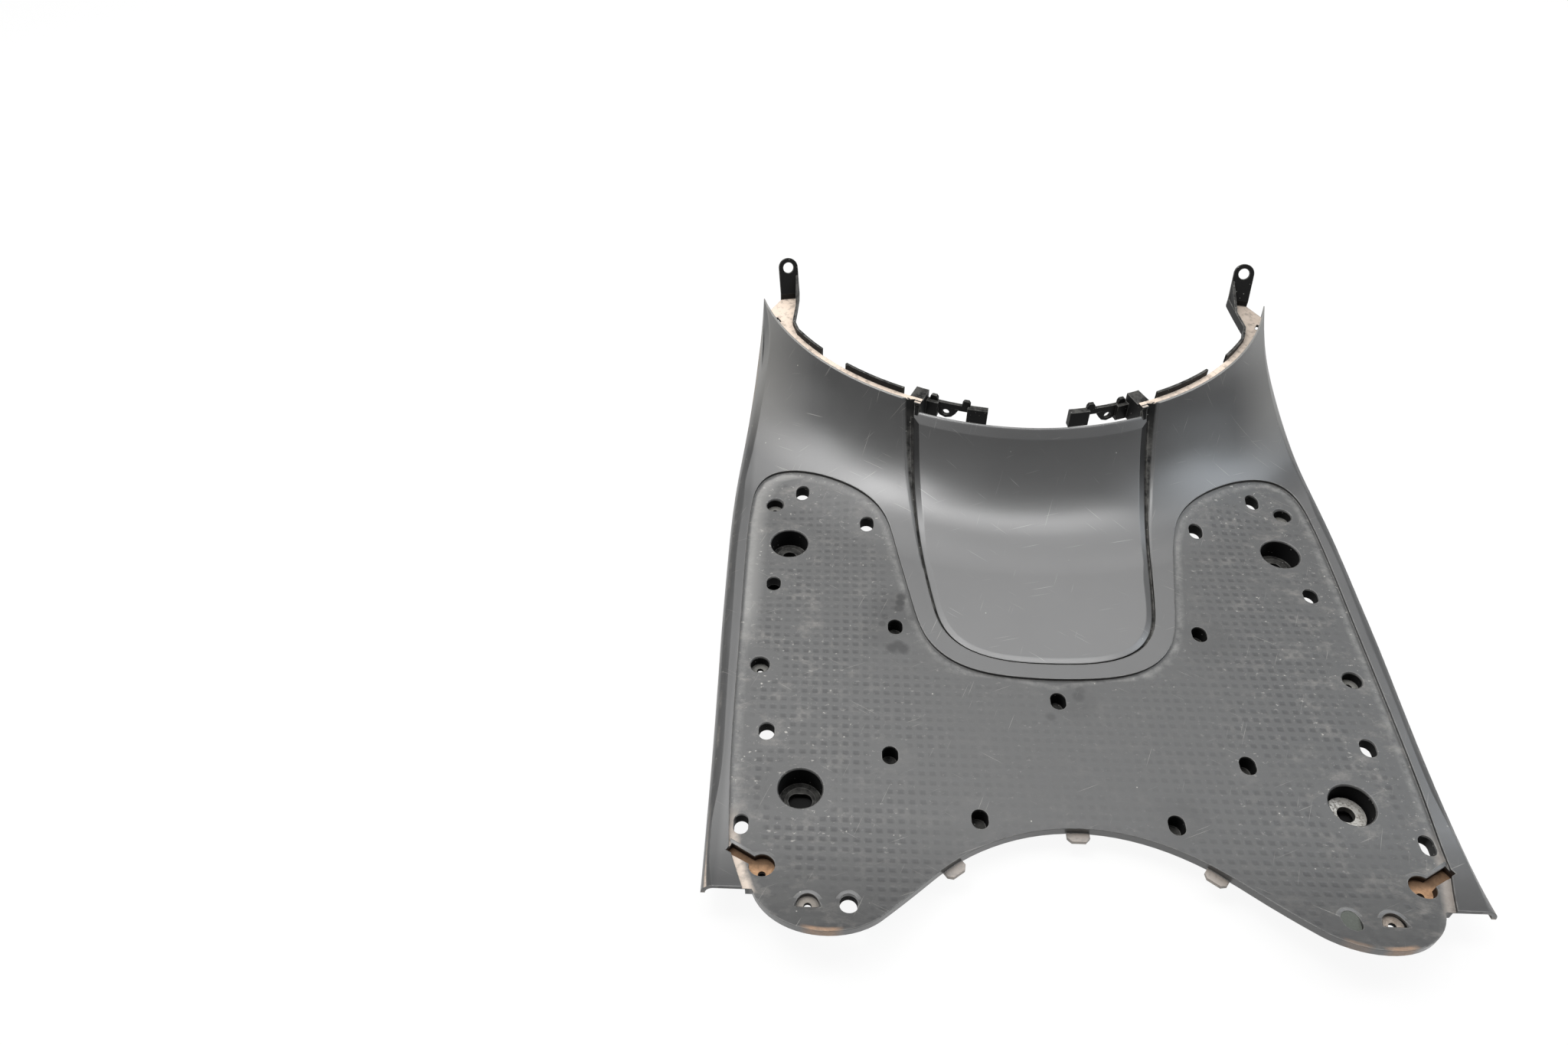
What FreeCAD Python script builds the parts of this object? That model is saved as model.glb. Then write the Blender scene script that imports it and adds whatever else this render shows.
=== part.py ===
"""Scooter floorboard: a moulded plastic board with a dished front, its centre cover and two small parts.

Frame: X across the scooter, +Y forward, +Z up, millimetres. The board is modelled round the middle
peg hole of its floor, with z = 0 on the mat floor, and is moved at the end so that the origin is the
centre of its footprint, on the plane that its bolt pockets rest on.
"""
import FreeCAD, Part
import math
import os

V = FreeCAD.Vector
UP = V(0, 0, 1)

# walls and depths
WALL = 2.5              # skin of the board
MAT_DEPTH = 2.0         # the mat floor lies this far under the border
LIP_DEPTH = 8.0         # height of the turned-down edge
FAR = 700.0             # reach of cutting blocks
LOW = -70.0             # underside of cutting blocks
OUTLINE_TOLERANCE = 0.15

# front: the cove is turned about the upright axis of the leg shield
SHIELD_Y = 417.0        # axis of the leg shield
SHIELD_R = 212.0        # far edge of the cove, a circle round that axis
COVE_R = 110.0          # hollow radius of the cove
COVE_RUN = 99.0         # how far the cove reaches out from the far edge

# rear: the floor sweeps up a little and ends in two lobes
KICK_Y = -85.0
KICK_R = 168.0
REAR_MID_Y = -89.0      # middle of the hollow rear edge
REAR_ARC_R = 122.0
LOBE_X = 144.0
LOBE_Y = -120.8
LOBE_R = 43.2
STRIP_END_Y = -136.5    # rear end of the side strips, open to the rear
STRIP_GAP_X = 188.0     # the opening under the strip starts here
STRIP_GAP_LENGTH = 4.0

# side edge in plan: distance along Y, half width at the lip, roll width, roll drop
SIDE_STATIONS = [
    (-190.0, 211.0, 7.0, 8.0),
    (-136.5, 212.6, 7.0, 8.0),
    (-60.0, 214.3, 7.0, 8.0),
    (20.0, 216.0, 7.0, 8.0),
    (90.0, 217.4, 7.0, 8.0),
    (140.0, 217.9, 7.2, 8.0),
    (185.0, 217.2, 7.6, 7.6),
    (222.0, 214.8, 8.2, 7.0),
    (258.0, 211.2, 9.2, 7.2),
    (286.0, 208.8, 10.2, 9.5),
    (308.0, 207.2, 10.8, 12.5),
    (326.0, 206.0, 9.0, 15.5),
    (340.0, 204.4, 5.0, 12.0),
    (352.0, 203.0, 1.0, 2.0),
    (364.0, 201.8, 1.0, 2.5),
]
KINK = 12.0             # angle at which the roll leaves the top face
SIDE_REACH = 280.0      # reach of the blocks that trim the sides
ROLL_LEAD = 2.5         # straight lead into the roll
ROLL_RUN_OUT = 8.0      # and past its foot
LEAST_BEND = 4.0
STEEPEST = 89.0
TIP_LIMIT_Y = 358.0     # just past the wing tips

# opening for the centre cover, right half, from the top edge down to the rear
COVER_POINTS = [
    (87.0, 219.0), (86.6, 200.0), (85.2, 175.0), (82.6, 140.0), (79.2, 110.0), (75.2, 78.0),
    (70.0, 58.0), (60.0, 43.0), (46.0, 34.0), (26.0, 29.0), (0.0, 27.5),
]
COVER_TOP_R = SHIELD_R + 2.2    # top edge of the cover, round the shield axis
COVER_GAP = 2.0
LEDGE = 7.0             # shelf under the edge of the cover
COVER_SKIN = 2.4
COVER_SINK = 0.6        # the cover lies a little under the border
LEDGE_DEPTH = COVER_SINK + COVER_SKIN
COVER_BEVEL = 6.0
COVER_BEVEL_DROP = 1.1
COVER_TOP_BAND = 6.5     # band along the top edge of the cover, laid back a little
COVER_TOP_SLOPE = 42.0
REVEAL_WIDTH = 6.5      # sloped side of the wing beside the cover, at the top
REVEAL_DROP = 3.0
REVEAL_END_Y = 118.0
REVEAL_LEAD = 25.0      # the slope thins out over this length past its end
REVEAL_LEAST = 0.12
REVEAL_TOP = (87.4, 231.0)

# mat floor outline, right half, from the tongue round the front leg to the rear
MAT_POINTS = [
    (0.0, 16.0), (30.0, 17.6), (55.0, 24.0), (70.0, 34.0), (80.0, 48.0), (86.0, 66.0), (91.0, 93.0),
    (96.0, 120.0), (100.5, 144.0), (108.0, 163.0), (122.0, 178.5), (142.0, 191.0), (164.0, 200.5),
    (184.0, 203.0), (196.0, 197.0), (202.0, 183.0), (204.2, 155.0), (204.2, 80.0), (203.4, 0.0),
    (202.0, -60.0), (199.0, -109.0),
]
MAT_END = (189.5, STRIP_END_Y)

# bolt pockets
BOLT_POCKETS = [(174.0, 133.5), (160.0, -68.0)]
BOLT_BORE_R = 13.2
BOLT_POCKET_DEPTH = 16.0
BOLT_HOLE_R = 5.0
BOLT_STRETCHES = [0.0, 4.5]     # the rear holes are slots across the board
SEAT_WALL = 3.0
SEAT_RING_R = 9.5
SEAT_RING_H = 1.2
POCKET_WALL = 2.2
RIM_CHAMFER = 0.8

# screw pockets: place, rim radius, depth
SCREW_POCKETS = [(186.3, 172.6, 6.8, 7.5), (189.0, 23.0, 6.8, 7.5), (153.8, -145.0, 7.0, 4.0)]
SCREW_HOLE_R = 2.2

# mat peg holes: open ones and blind cups, obround along Y
PEG_HOLES = [(166.0, 183.4), (118.3, 152.5), (183.5, 94.0), (182.0, -28.5), (131.8, -144.5)]
PEG_CUPS = [(100.4, 57.5), (106.5, -43.5), (56.0, -85.0), (0.0, 0.0)]
PEG_R = 4.9
PEG_STRETCH = 3.0       # straight length of the hole between its round ends
PEG_TUBE = 6.0          # tube under the floor round each open hole
PEG_CUP_DEPTH = 11.0
LONG_HOLE = (193.4, -93.0)
LONG_HOLE_R = 4.3
LONG_HOLE_STRETCH = 4.6

# keyhole pocket by the rear corner
KEY_CENTRE = (179.8, -120.2)
KEY_R = 7.4
KEY_DEPTH = 6.0
KEY_SLOT_END = (199.0, -109.0)
KEY_SLOT_WIDTH = 6.0
KEY_SCREW_R = 2.2
KEY_SCREW_STEP = -2.6   # the screw hole lies this far behind the middle of the round end

# flange behind the far edge of the wings
SHELF_WIDTH = 4.8
SHELF_WALL = 2.2
SHELF_END = 67.6         # bearing from the shield axis at which the shelf ends, in degrees
SHELF_STEP = 0.5        # the shelf lies this far under the chamfer of the far edge
UPSTAND = 5.0
UPSTAND_WALL = 1.8
# stretches of upright lip, as bearings where each starts and ends
UPSTANDS = [(26.6, 41.0), (48.2, 57.1)]
EDGE_CHAMFER = 1.4
EDGE_SLOPE = 15.0
EDGE_REACH = 6.0        # how far the cut goes past the edge
EDGE_ABOVE = 40.0

# ears
EAR_WIDTH = 15.4
EAR_WALL = 2.6
EAR_TURN = 11.0         # the ears face inward by this angle
EAR_LEAN = 27.0         # and lean forward
EAR_FOOT_STEP = (3.2, 53.0)     # from the end of the last lip to the middle of the ear's foot
EAR_LENGTH = 28.6
EAR_RISER = 5.0         # upright step under the foot of the ear
EAR_HOLE_R = 4.2
NECK_STEPS = [(0.0, 15.5), (-1.6, 36.0)]
NECK_EDGE = [68.0, 62.5]        # bearings where the foot of the neck meets the wing
NECK_OVERLAP = 0.6
GUSSET_SHARE = 0.5      # how far up the ear the wall of its neck reaches
EAR_SLOT_STEP = (9.0, 20.1)
EAR_SLOT_SIZE = (3.6, 7.0)
EAR_SLOT_TURN = -28.0
SHELF_OVERLAP = 1.2

# brackets in front of the top edge of the cover
BRACKET_R = SHIELD_R - 17.0
BRACKET_WALL = 2.6
BRACKET_DROP = 11.5     # top of the arm under the far edge of the cove
BRACKET_ARM_H = 5.0
PADS_X = [(32.5, 48.5), (71.5, 90.5)]
PAD_REACH = 2.5
PAD_H = 13.0
BLOCK_X = (80.5, 90.5)
BLOCK_RISE = 6.5
BLOCK_REACH = 5.0       # how far the block runs under the skin of the wing
NUBS_X = [46.0, 69.5]
NUB_OUTLINE = [(-3.2, -1.0), (3.2, -1.0), (3.0, 2.8), (1.8, 4.6), (-1.8, 4.6), (-3.0, 2.8)]
LUG_X = 60.0
LUG_OUTLINE = [(-9.5, 1.0), (-7.2, -3.5), (-4.4, -6.9), (0.0, -8.4), (4.4, -6.9), (7.2, -3.5), (9.5, 1.0)]
LUG_HOLE_DROP = 3.4
LUG_HOLE_R = 2.6

# clip tongues on the rear edge
CLIP_ANGLES = [0.0, 37.0]
CLIP_WIDTH = 13.0
CLIP_REACH = 6.0
CLIP_WALL = 2.2
CLIP_SINK = 4.5

# ribs under the floor
RIB_WALL = 1.8
RIB_DEPTH = 7.2
RIB_XS = [22.0, 66.0, 128.0, 146.0]
RIB_YS = [-66.0, -22.0, 8.0, 78.0, 116.0]
RIB_CLEAR = 1.0

# loose small parts
COLLAR_R = 11.4
COLLAR_FLANGE = 2.0
COLLAR_BODY_R = 8.2
COLLAR_BORE_R = 5.2
COLLAR_HEIGHT = 4.0
STUB_SINK = 1.4
STUB_LENGTH = 7.0

BORDER_Z = MAT_DEPTH
COVE_BASE_R = SHIELD_R + COVE_RUN


def top_z(x, y, depth=0.0):
    """Height of the border face, sunk by depth along its normal, at a place in plan."""
    reach = COVE_BASE_R - math.hypot(x, SHIELD_Y - y)
    radius = COVE_R + depth
    if reach > 0:
        reach = min(reach, radius * 0.995)
        return BORDER_Z + COVE_R - math.sqrt(radius ** 2 - reach ** 2)
    back = KICK_Y - y
    if back > 0:
        return BORDER_Z + KICK_R - math.sqrt((KICK_R + depth) ** 2 - back ** 2)
    return BORDER_Z - depth


def top_normal(x, y):
    """Unit normal of the border face."""
    reach = COVE_BASE_R - math.hypot(x, SHIELD_Y - y)
    if reach > 0:
        slope = math.asin(min(reach / COVE_R, 0.995))
        inward = V(-x, SHIELD_Y - y, 0).normalize()
        return V(0, 0, math.cos(slope)) - inward * math.sin(slope)
    back = KICK_Y - y
    if back > 0:
        slope = math.asin(back / KICK_R)
        return V(0, math.sin(slope), math.cos(slope))
    return V(0, 0, 1)


def on_top(x, y, lift=0.0):
    """Point of the border face, lifted along its normal."""
    return V(x, y, top_z(x, y)) + top_normal(x, y) * lift


def layer(depth):
    """Everything under the border face sunk by depth: flat floor, turned cove and rear sweep."""
    radius = COVE_R + depth
    flat = BORDER_Z - depth
    centre = V(0, SHIELD_Y + COVE_BASE_R, BORDER_Z + COVE_R)

    def cove(angle):
        turn = math.radians(angle)
        return centre + V(0, -math.sin(turn) * radius, -math.cos(turn) * radius)

    steep = 80.0
    start = cove(0)
    end = cove(steep)
    outline = [
        Part.Arc(start, cove(steep / 2), end).toShape(),
        Part.LineSegment(end, V(0, end.y, LOW)).toShape(),
        Part.LineSegment(V(0, end.y, LOW), V(0, SHIELD_Y + FAR, LOW)).toShape(),
        Part.LineSegment(V(0, SHIELD_Y + FAR, LOW), V(0, SHIELD_Y + FAR, flat)).toShape(),
        Part.LineSegment(V(0, SHIELD_Y + FAR, flat), start).toShape(),
    ]
    turned = Part.Face(Part.Wire(outline)).revolve(V(0, SHIELD_Y, 0), UP, 360)
    front = turned.common(Part.makeBox(2 * FAR, FAR, FAR, V(-FAR, KICK_Y, LOW)))

    kick_radius = KICK_R + depth
    kick_centre = V(-FAR, KICK_Y, BORDER_Z + KICK_R)

    def kick(angle):
        turn = math.radians(angle)
        return kick_centre + V(0, -math.sin(turn) * kick_radius, -math.cos(turn) * kick_radius)

    sweep = 36.0
    rear_end = kick(sweep)
    side = [
        Part.Arc(kick(0), kick(sweep / 2), rear_end).toShape(),
        Part.LineSegment(rear_end, V(-FAR, rear_end.y, LOW)).toShape(),
        Part.LineSegment(V(-FAR, rear_end.y, LOW), V(-FAR, KICK_Y, LOW)).toShape(),
        Part.LineSegment(V(-FAR, KICK_Y, LOW), kick(0)).toShape(),
    ]
    rear = Part.Face(Part.Wire(side)).extrude(V(2 * FAR, 0, 0))
    return front.fuse(rear).removeSplitter()


def column(wire):
    """Upright prism over a closed outline in plan."""
    wire = wire.copy()
    wire.translate(V(0, 0, LOW - 10 - wire.BoundBox.ZMin))
    return Part.Face(wire).extrude(V(0, 0, FAR))


def smooth(points):
    """Smooth curve close to points in plan, with few spans."""
    curve = Part.BSplineCurve()
    places = [V(x, y, 0) for x, y in points]
    curve.approximate(Points=places, DegMin=3, DegMax=5, Tolerance=OUTLINE_TOLERANCE, Continuity="C2")
    return curve


def mirrored(points):
    """The same points on the left side, in reverse order."""
    return [(-x, y) for x, y in reversed(points)]


def rear_outline(inset):
    """Edges of the rear rim in plan, right half, from the middle to the end of the lobe."""
    centre = V(0, REAR_MID_Y - REAR_ARC_R, 0)
    arc_r = REAR_ARC_R + inset
    lobe = V(LOBE_X, LOBE_Y, 0)
    lobe_r = LOBE_R - inset
    apart = centre - lobe
    base = math.atan2(apart.y, apart.x)
    turn = base + math.acos((arc_r + lobe_r) / apart.Length)
    ray = V(math.cos(turn), math.sin(turn), 0)
    lobe_end = lobe + ray * lobe_r
    arc_end = centre - ray * arc_r
    half = math.atan2(arc_end.x, arc_end.y - centre.y) / 2
    arc_mid = centre + V(math.sin(half), math.cos(half), 0) * arc_r
    step_y = STRIP_END_Y + inset
    step = V(LOBE_X + math.sqrt(lobe_r ** 2 - (step_y - LOBE_Y) ** 2), step_y, 0)
    low = lobe + V(0.1, -1, 0).normalize() * lobe_r
    return [
        Part.Arc(V(0, REAR_MID_Y + inset, 0), arc_mid, arc_end).toShape(),
        Part.LineSegment(arc_end, lobe_end).toShape(),
        Part.Arc(lobe_end, low, step).toShape(),
    ], step


def plan_column(inset, front_r):
    """Prism of the board's right half: rear rim as drawn, side left wide, front cut by a circle."""
    edges, step = rear_outline(inset)
    side_x = SIDE_REACH - 20.0
    corner = V(side_x, step.y, 0)
    front = V(side_x, TIP_LIMIT_Y, 0)
    middle = V(0, TIP_LIMIT_Y, 0)
    edges.append(Part.LineSegment(step, corner).toShape())
    edges.append(Part.LineSegment(corner, front).toShape())
    edges.append(Part.LineSegment(front, middle).toShape())
    edges.append(Part.LineSegment(middle, V(0, REAR_MID_Y + inset, 0)).toShape())
    well = Part.makeCylinder(front_r, 2 * FAR, V(0, SHIELD_Y, LOW - 20), UP)
    return column(Part.Wire(edges)).cut(well)


def side_cutter(inset):
    """Block outside the rolled side edge of the right half; inset moves the roll inward by a wall."""
    sections = []
    for y, edge_x, roll, drop in SIDE_STATIONS:
        start = V(edge_x - roll, y, top_z(edge_x - roll, y))
        end = V(edge_x, y, top_z(edge_x, y) - drop)
        nearby = top_z(edge_x - roll + 0.1, y) - start.z
        slope = math.degrees(math.atan2(-nearby, 0.1))
        chord = end - start
        fall = math.degrees(math.atan2(-chord.z, chord.x))
        bend = max(fall - slope - KINK, LEAST_BEND)
        radius = chord.Length / 2 / math.sin(math.radians(bend))
        first = math.radians(fall - bend)
        centre = start + V(-math.sin(first), 0, -math.cos(first)) * radius
        radius -= inset
        last = math.radians(min(fall + bend, STEEPEST))

        def at(angle):
            return centre + V(math.sin(angle), 0, math.cos(angle)) * radius

        def along(angle):
            return V(math.cos(angle), 0, -math.sin(angle))

        head = at(first) - along(first) * ROLL_LEAD
        foot = at(last) + along(last) * ROLL_RUN_OUT
        corner = at(first) + along(first) * radius * math.tan((last - first) / 2)
        roll_curve = Part.BezierCurve()
        roll_curve.setPoles([at(first), corner, at(last)])
        out_x = SIDE_REACH
        high = -2 * LOW
        loop = [
            Part.LineSegment(head, at(first)).toShape(),
            roll_curve.toShape(),
            Part.LineSegment(at(last), foot).toShape(),
            Part.LineSegment(foot, V(out_x, y, foot.z)).toShape(),
            Part.LineSegment(V(out_x, y, foot.z), V(out_x, y, high)).toShape(),
            Part.LineSegment(V(out_x, y, high), V(head.x, y, high)).toShape(),
            Part.LineSegment(V(head.x, y, high), head).toShape(),
        ]
        sections.append(Part.Wire(loop))
    return Part.makeLoft(sections, True, False)


def under_cutter():
    """Block under the foot of the turned-down edge, drawn in side view."""
    flat = [(y, top_z(0, y) - LIP_DEPTH) for y in (SIDE_STATIONS[0][0], -160.0, -130.0, -105.0, KICK_Y)]
    wing = [(y, top_z(x, y) - drop) for y, x, roll, drop in SIDE_STATIONS if y > 100]
    rear = Part.BSplineCurve()
    rear.interpolate([V(-FAR, y, z) for y, z in flat])
    front = Part.BSplineCurve()
    front.interpolate([V(-FAR, y, z) for y, z in wing])
    first = V(-FAR, *flat[0])
    turn = V(-FAR, *flat[-1])
    start = V(-FAR, *wing[0])
    end = V(-FAR, *wing[-1])
    edges = [
        rear.toShape(),
        Part.LineSegment(turn, start).toShape(),
        front.toShape(),
        Part.LineSegment(end, V(-FAR, end.y, LOW - 5)).toShape(),
        Part.LineSegment(V(-FAR, end.y, LOW - 5), V(-FAR, first.y, LOW - 5)).toShape(),
        Part.LineSegment(V(-FAR, first.y, LOW - 5), first).toShape(),
    ]
    return Part.Face(Part.Wire(edges)).extrude(V(2 * FAR, 0, 0))


def offset_outline(points, inset):
    """Points of a smooth outline moved sideways by inset, to the left of the way they run."""
    moved = []
    for i, (x, y) in enumerate(points):
        before = points[max(i - 1, 0)]
        after = points[min(i + 1, len(points) - 1)]
        run = V(after[0] - before[0], after[1] - before[1], 0).normalize()
        moved.append((x - run.y * inset, y + run.x * inset))
    return moved


def cover_column(inset, top_r):
    """Prism of the tongue-shaped opening, drawn in by inset."""
    half = offset_outline(COVER_POINTS, -inset)
    half[-1] = (0.0, half[-1][1])
    curve = smooth(half[:-1] + [half[-1]] + mirrored(half[:-1]))
    reach = 30.0
    high_y = COVER_POINTS[0][1] + reach
    first = V(half[0][0], half[0][1], 0)
    edges = [
        curve.toShape(),
        Part.LineSegment(V(-first.x, first.y, 0), V(-first.x, high_y, 0)).toShape(),
        Part.LineSegment(V(-first.x, high_y, 0), V(first.x, high_y, 0)).toShape(),
        Part.LineSegment(V(first.x, high_y, 0), first).toShape(),
    ]
    well = Part.makeCylinder(top_r, 2 * FAR, V(0, SHIELD_Y, LOW - 20), UP)
    return column(Part.Wire(edges)).cut(well)


def mat_column(grow):
    """Prism of the mat floor, open to the rear, grown outward by a wall."""
    half = offset_outline(MAT_POINTS, grow)
    half[0] = (0.0, half[0][1])
    curve = smooth(mirrored(half[1:]) + half)
    last = V(half[-1][0], half[-1][1], 0)
    end = V(MAT_END[0] + grow, MAT_END[1], 0)
    back = V(end.x - 4.0, -FAR / 3, 0)
    edges = [
        curve.toShape(),
        Part.LineSegment(last, end).toShape(),
        Part.LineSegment(end, back).toShape(),
        Part.LineSegment(back, V(-back.x, back.y, 0)).toShape(),
        Part.LineSegment(V(-back.x, back.y, 0), V(-end.x, end.y, 0)).toShape(),
        Part.LineSegment(V(-end.x, end.y, 0), V(-last.x, last.y, 0)).toShape(),
    ]
    return column(Part.Wire(edges))


def wedge(stations):
    """Sloped strip cut along an edge: each station is a place, the inward way, width and drop."""
    sections = []
    over = 3.0
    for place, inward, width, drop in stations:
        normal = top_normal(place.x, place.y)
        inner = place + inward * width
        outer = place - inward * 1.5
        low = on_top(outer.x, outer.y, -drop * (1 + 1.5 / width))
        near = on_top(inner.x, inner.y)
        loop = [near, low, low + normal * (over + drop), near + normal * over, near]
        sections.append(Part.makePolygon(loop))
    return Part.makeLoft(sections, True, False)


def stations_along(points, width_at, drop_at):
    """Wedge stations along an outline that runs with the part on its right hand."""
    result = []
    for i, (x, y) in enumerate(points):
        before = points[max(i - 1, 0)]
        after = points[min(i + 1, len(points) - 1)]
        run = V(after[0] - before[0], after[1] - before[1], 0).normalize()
        inward = V(run.y, -run.x, 0)
        result.append((V(x, y, 0), inward, width_at(y), drop_at(y)))
    return result


def obround(x, y, radius, stretch, z_low, z_high):
    """Upright peg shape, long along Y."""
    top = V(x, y + stretch / 2, z_low)
    bottom = V(x, y - stretch / 2, z_low)
    edges = [
        Part.Arc(top + V(radius, 0, 0), top + V(0, radius, 0), top + V(-radius, 0, 0)).toShape(),
        Part.LineSegment(top + V(-radius, 0, 0), bottom + V(-radius, 0, 0)).toShape(),
        Part.Arc(bottom + V(-radius, 0, 0), bottom + V(0, -radius, 0), bottom + V(radius, 0, 0)).toShape(),
        Part.LineSegment(bottom + V(radius, 0, 0), top + V(radius, 0, 0)).toShape(),
    ]
    return Part.Face(Part.Wire(edges)).extrude(V(0, 0, z_high - z_low))


def cylinder(x, y, radius, z_low, z_high):
    """Upright round bar."""
    return Part.makeCylinder(radius, z_high - z_low, V(x, y, z_low), UP)


def rim_cone(x, y, radius, z):
    """Small countersink at a rim of the mat floor."""
    return Part.makeCone(radius, radius + 2 * RIM_CHAMFER, 2 * RIM_CHAMFER, V(x, y, z - RIM_CHAMFER), UP)


def mat_z(x, y):
    """Height of the mat floor."""
    return top_z(x, y, MAT_DEPTH)


def pockets():
    """Pocket and tube walls to add, and the hollows to cut, right half."""
    walls = []
    hollows = []
    for (x, y), stretch in zip(BOLT_POCKETS, BOLT_STRETCHES):
        rim = mat_z(x, y)
        seat = -BOLT_POCKET_DEPTH
        walls.append(cylinder(x, y, BOLT_BORE_R + POCKET_WALL, seat - SEAT_WALL, rim - WALL / 2))
        bore = cylinder(x, y, BOLT_BORE_R, seat, rim + 1)
        ring = cylinder(x, y, SEAT_RING_R, seat, seat + SEAT_RING_H)
        hollows.append(bore.cut(ring))
        for shift in (-stretch / 2, stretch / 2):
            hollows.append(cylinder(x + shift, y, BOLT_HOLE_R, seat - SEAT_WALL - 1, seat + SEAT_RING_H + 1))
        if stretch:
            bar = Part.makeBox(stretch, 2 * BOLT_HOLE_R, SEAT_WALL + SEAT_RING_H + 2)
            bar.translate(V(x - stretch / 2, y - BOLT_HOLE_R, seat - SEAT_WALL - 1))
            hollows.append(bar)
        hollows.append(rim_cone(x, y, BOLT_BORE_R, rim))
    for x, y, radius, depth in SCREW_POCKETS:
        rim = mat_z(x, y)
        seat = rim - depth
        walls.append(cylinder(x, y, radius + POCKET_WALL - RIM_CHAMFER, seat - WALL, rim - WALL / 2))
        hollows.append(cylinder(x, y, radius - RIM_CHAMFER, seat, rim + 1))
        hollows.append(cylinder(x, y, SCREW_HOLE_R, seat - WALL - 1, seat + 1))
        hollows.append(rim_cone(x, y, radius - RIM_CHAMFER, rim))
    for x, y in PEG_HOLES:
        rim = mat_z(x, y)
        foot = rim - WALL - PEG_TUBE
        walls.append(obround(x, y, PEG_R + POCKET_WALL, PEG_STRETCH, foot, rim - WALL / 2))
        hollows.append(obround(x, y, PEG_R, PEG_STRETCH, foot - 1, rim + 12))
    for x, y in PEG_CUPS:
        rim = mat_z(x, y)
        seat = rim - PEG_CUP_DEPTH
        walls.append(obround(x, y, PEG_R + POCKET_WALL, PEG_STRETCH, seat - WALL, rim - WALL / 2))
        hollows.append(obround(x, y, PEG_R, PEG_STRETCH, seat, rim + 1))
    x, y = LONG_HOLE
    rim = mat_z(x, y)
    foot = rim - WALL - PEG_TUBE
    walls.append(obround(x, y, LONG_HOLE_R + POCKET_WALL, LONG_HOLE_STRETCH, foot, rim - WALL / 2))
    hollows.append(obround(x, y, LONG_HOLE_R, LONG_HOLE_STRETCH, foot - 1, rim + 1))
    return walls, hollows


def key_pocket():
    """Keyhole pocket near the rear corner: wall block and hollow."""
    x, y = KEY_CENTRE
    rim = mat_z(x, y)
    seat = rim - KEY_DEPTH
    way = V(KEY_SLOT_END[0] - x, KEY_SLOT_END[1] - y, 0)
    turn = math.degrees(math.atan2(way.y, way.x))

    def slot(width, length, z_low, z_high):
        bar = Part.makeBox(length, width, z_high - z_low, V(0, -width / 2, z_low))
        bar.rotate(V(0, 0, 0), UP, turn)
        bar.translate(V(x, y, 0))
        return bar

    wall = cylinder(x, y, KEY_R + POCKET_WALL, seat - WALL, rim - WALL / 2)
    slot_block = slot(KEY_SLOT_WIDTH + 2 * POCKET_WALL, way.Length + POCKET_WALL, seat - WALL, rim - WALL / 2)
    wall = wall.fuse(slot_block)
    hollow = cylinder(x, y, KEY_R, seat, rim + 2)
    hollow = hollow.fuse(slot(KEY_SLOT_WIDTH, way.Length, seat, rim + 1.4))
    hollow = hollow.fuse(cylinder(x, y + KEY_SCREW_STEP, KEY_SCREW_R, seat - WALL - 1, seat + 1))
    return wall, hollow


def bearing(x):
    """Angle round the shield axis, in degrees, of a place on the far edge at x."""
    return math.degrees(math.asin(x / SHIELD_R))


def ring_piece(inner_r, outer_r, z_low, z_high, start, end):
    """Piece of an upright ring round the shield axis, between two bearings."""
    ring = Part.makeCylinder(outer_r, z_high - z_low, V(0, SHIELD_Y, z_low), UP)
    ring = ring.cut(Part.makeCylinder(inner_r, z_high - z_low + 2, V(0, SHIELD_Y, z_low - 1), UP))
    first = math.radians(start)
    last = math.radians(end)
    reach = 2 * SHIELD_R
    axis = V(0, SHIELD_Y, z_low - 1)
    sector = Part.makePolygon([
        axis,
        axis + V(math.sin(first), -math.cos(first), 0) * reach,
        axis + V(math.sin((first + last) / 2), -math.cos((first + last) / 2), 0) * reach,
        axis + V(math.sin(last), -math.cos(last), 0) * reach,
        axis,
    ])
    return ring.common(Part.Face(sector).extrude(V(0, 0, z_high - z_low + 2)))


def flange_z():
    """Height of the flange shelf."""
    return top_z(0, SHIELD_Y - SHIELD_R - EDGE_CHAMFER) - SHELF_STEP


def on_circle(angle, radius):
    """Point in plan at a bearing on a circle round the shield axis."""
    turn = math.radians(angle)
    return V(math.sin(turn) * radius, SHIELD_Y - math.cos(turn) * radius, 0)


def lip_end():
    """Point in plan where the last upright lip ends and the neck of the ear begins."""
    return on_circle(UPSTANDS[-1][1], SHIELD_R - SHELF_WIDTH)


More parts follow.
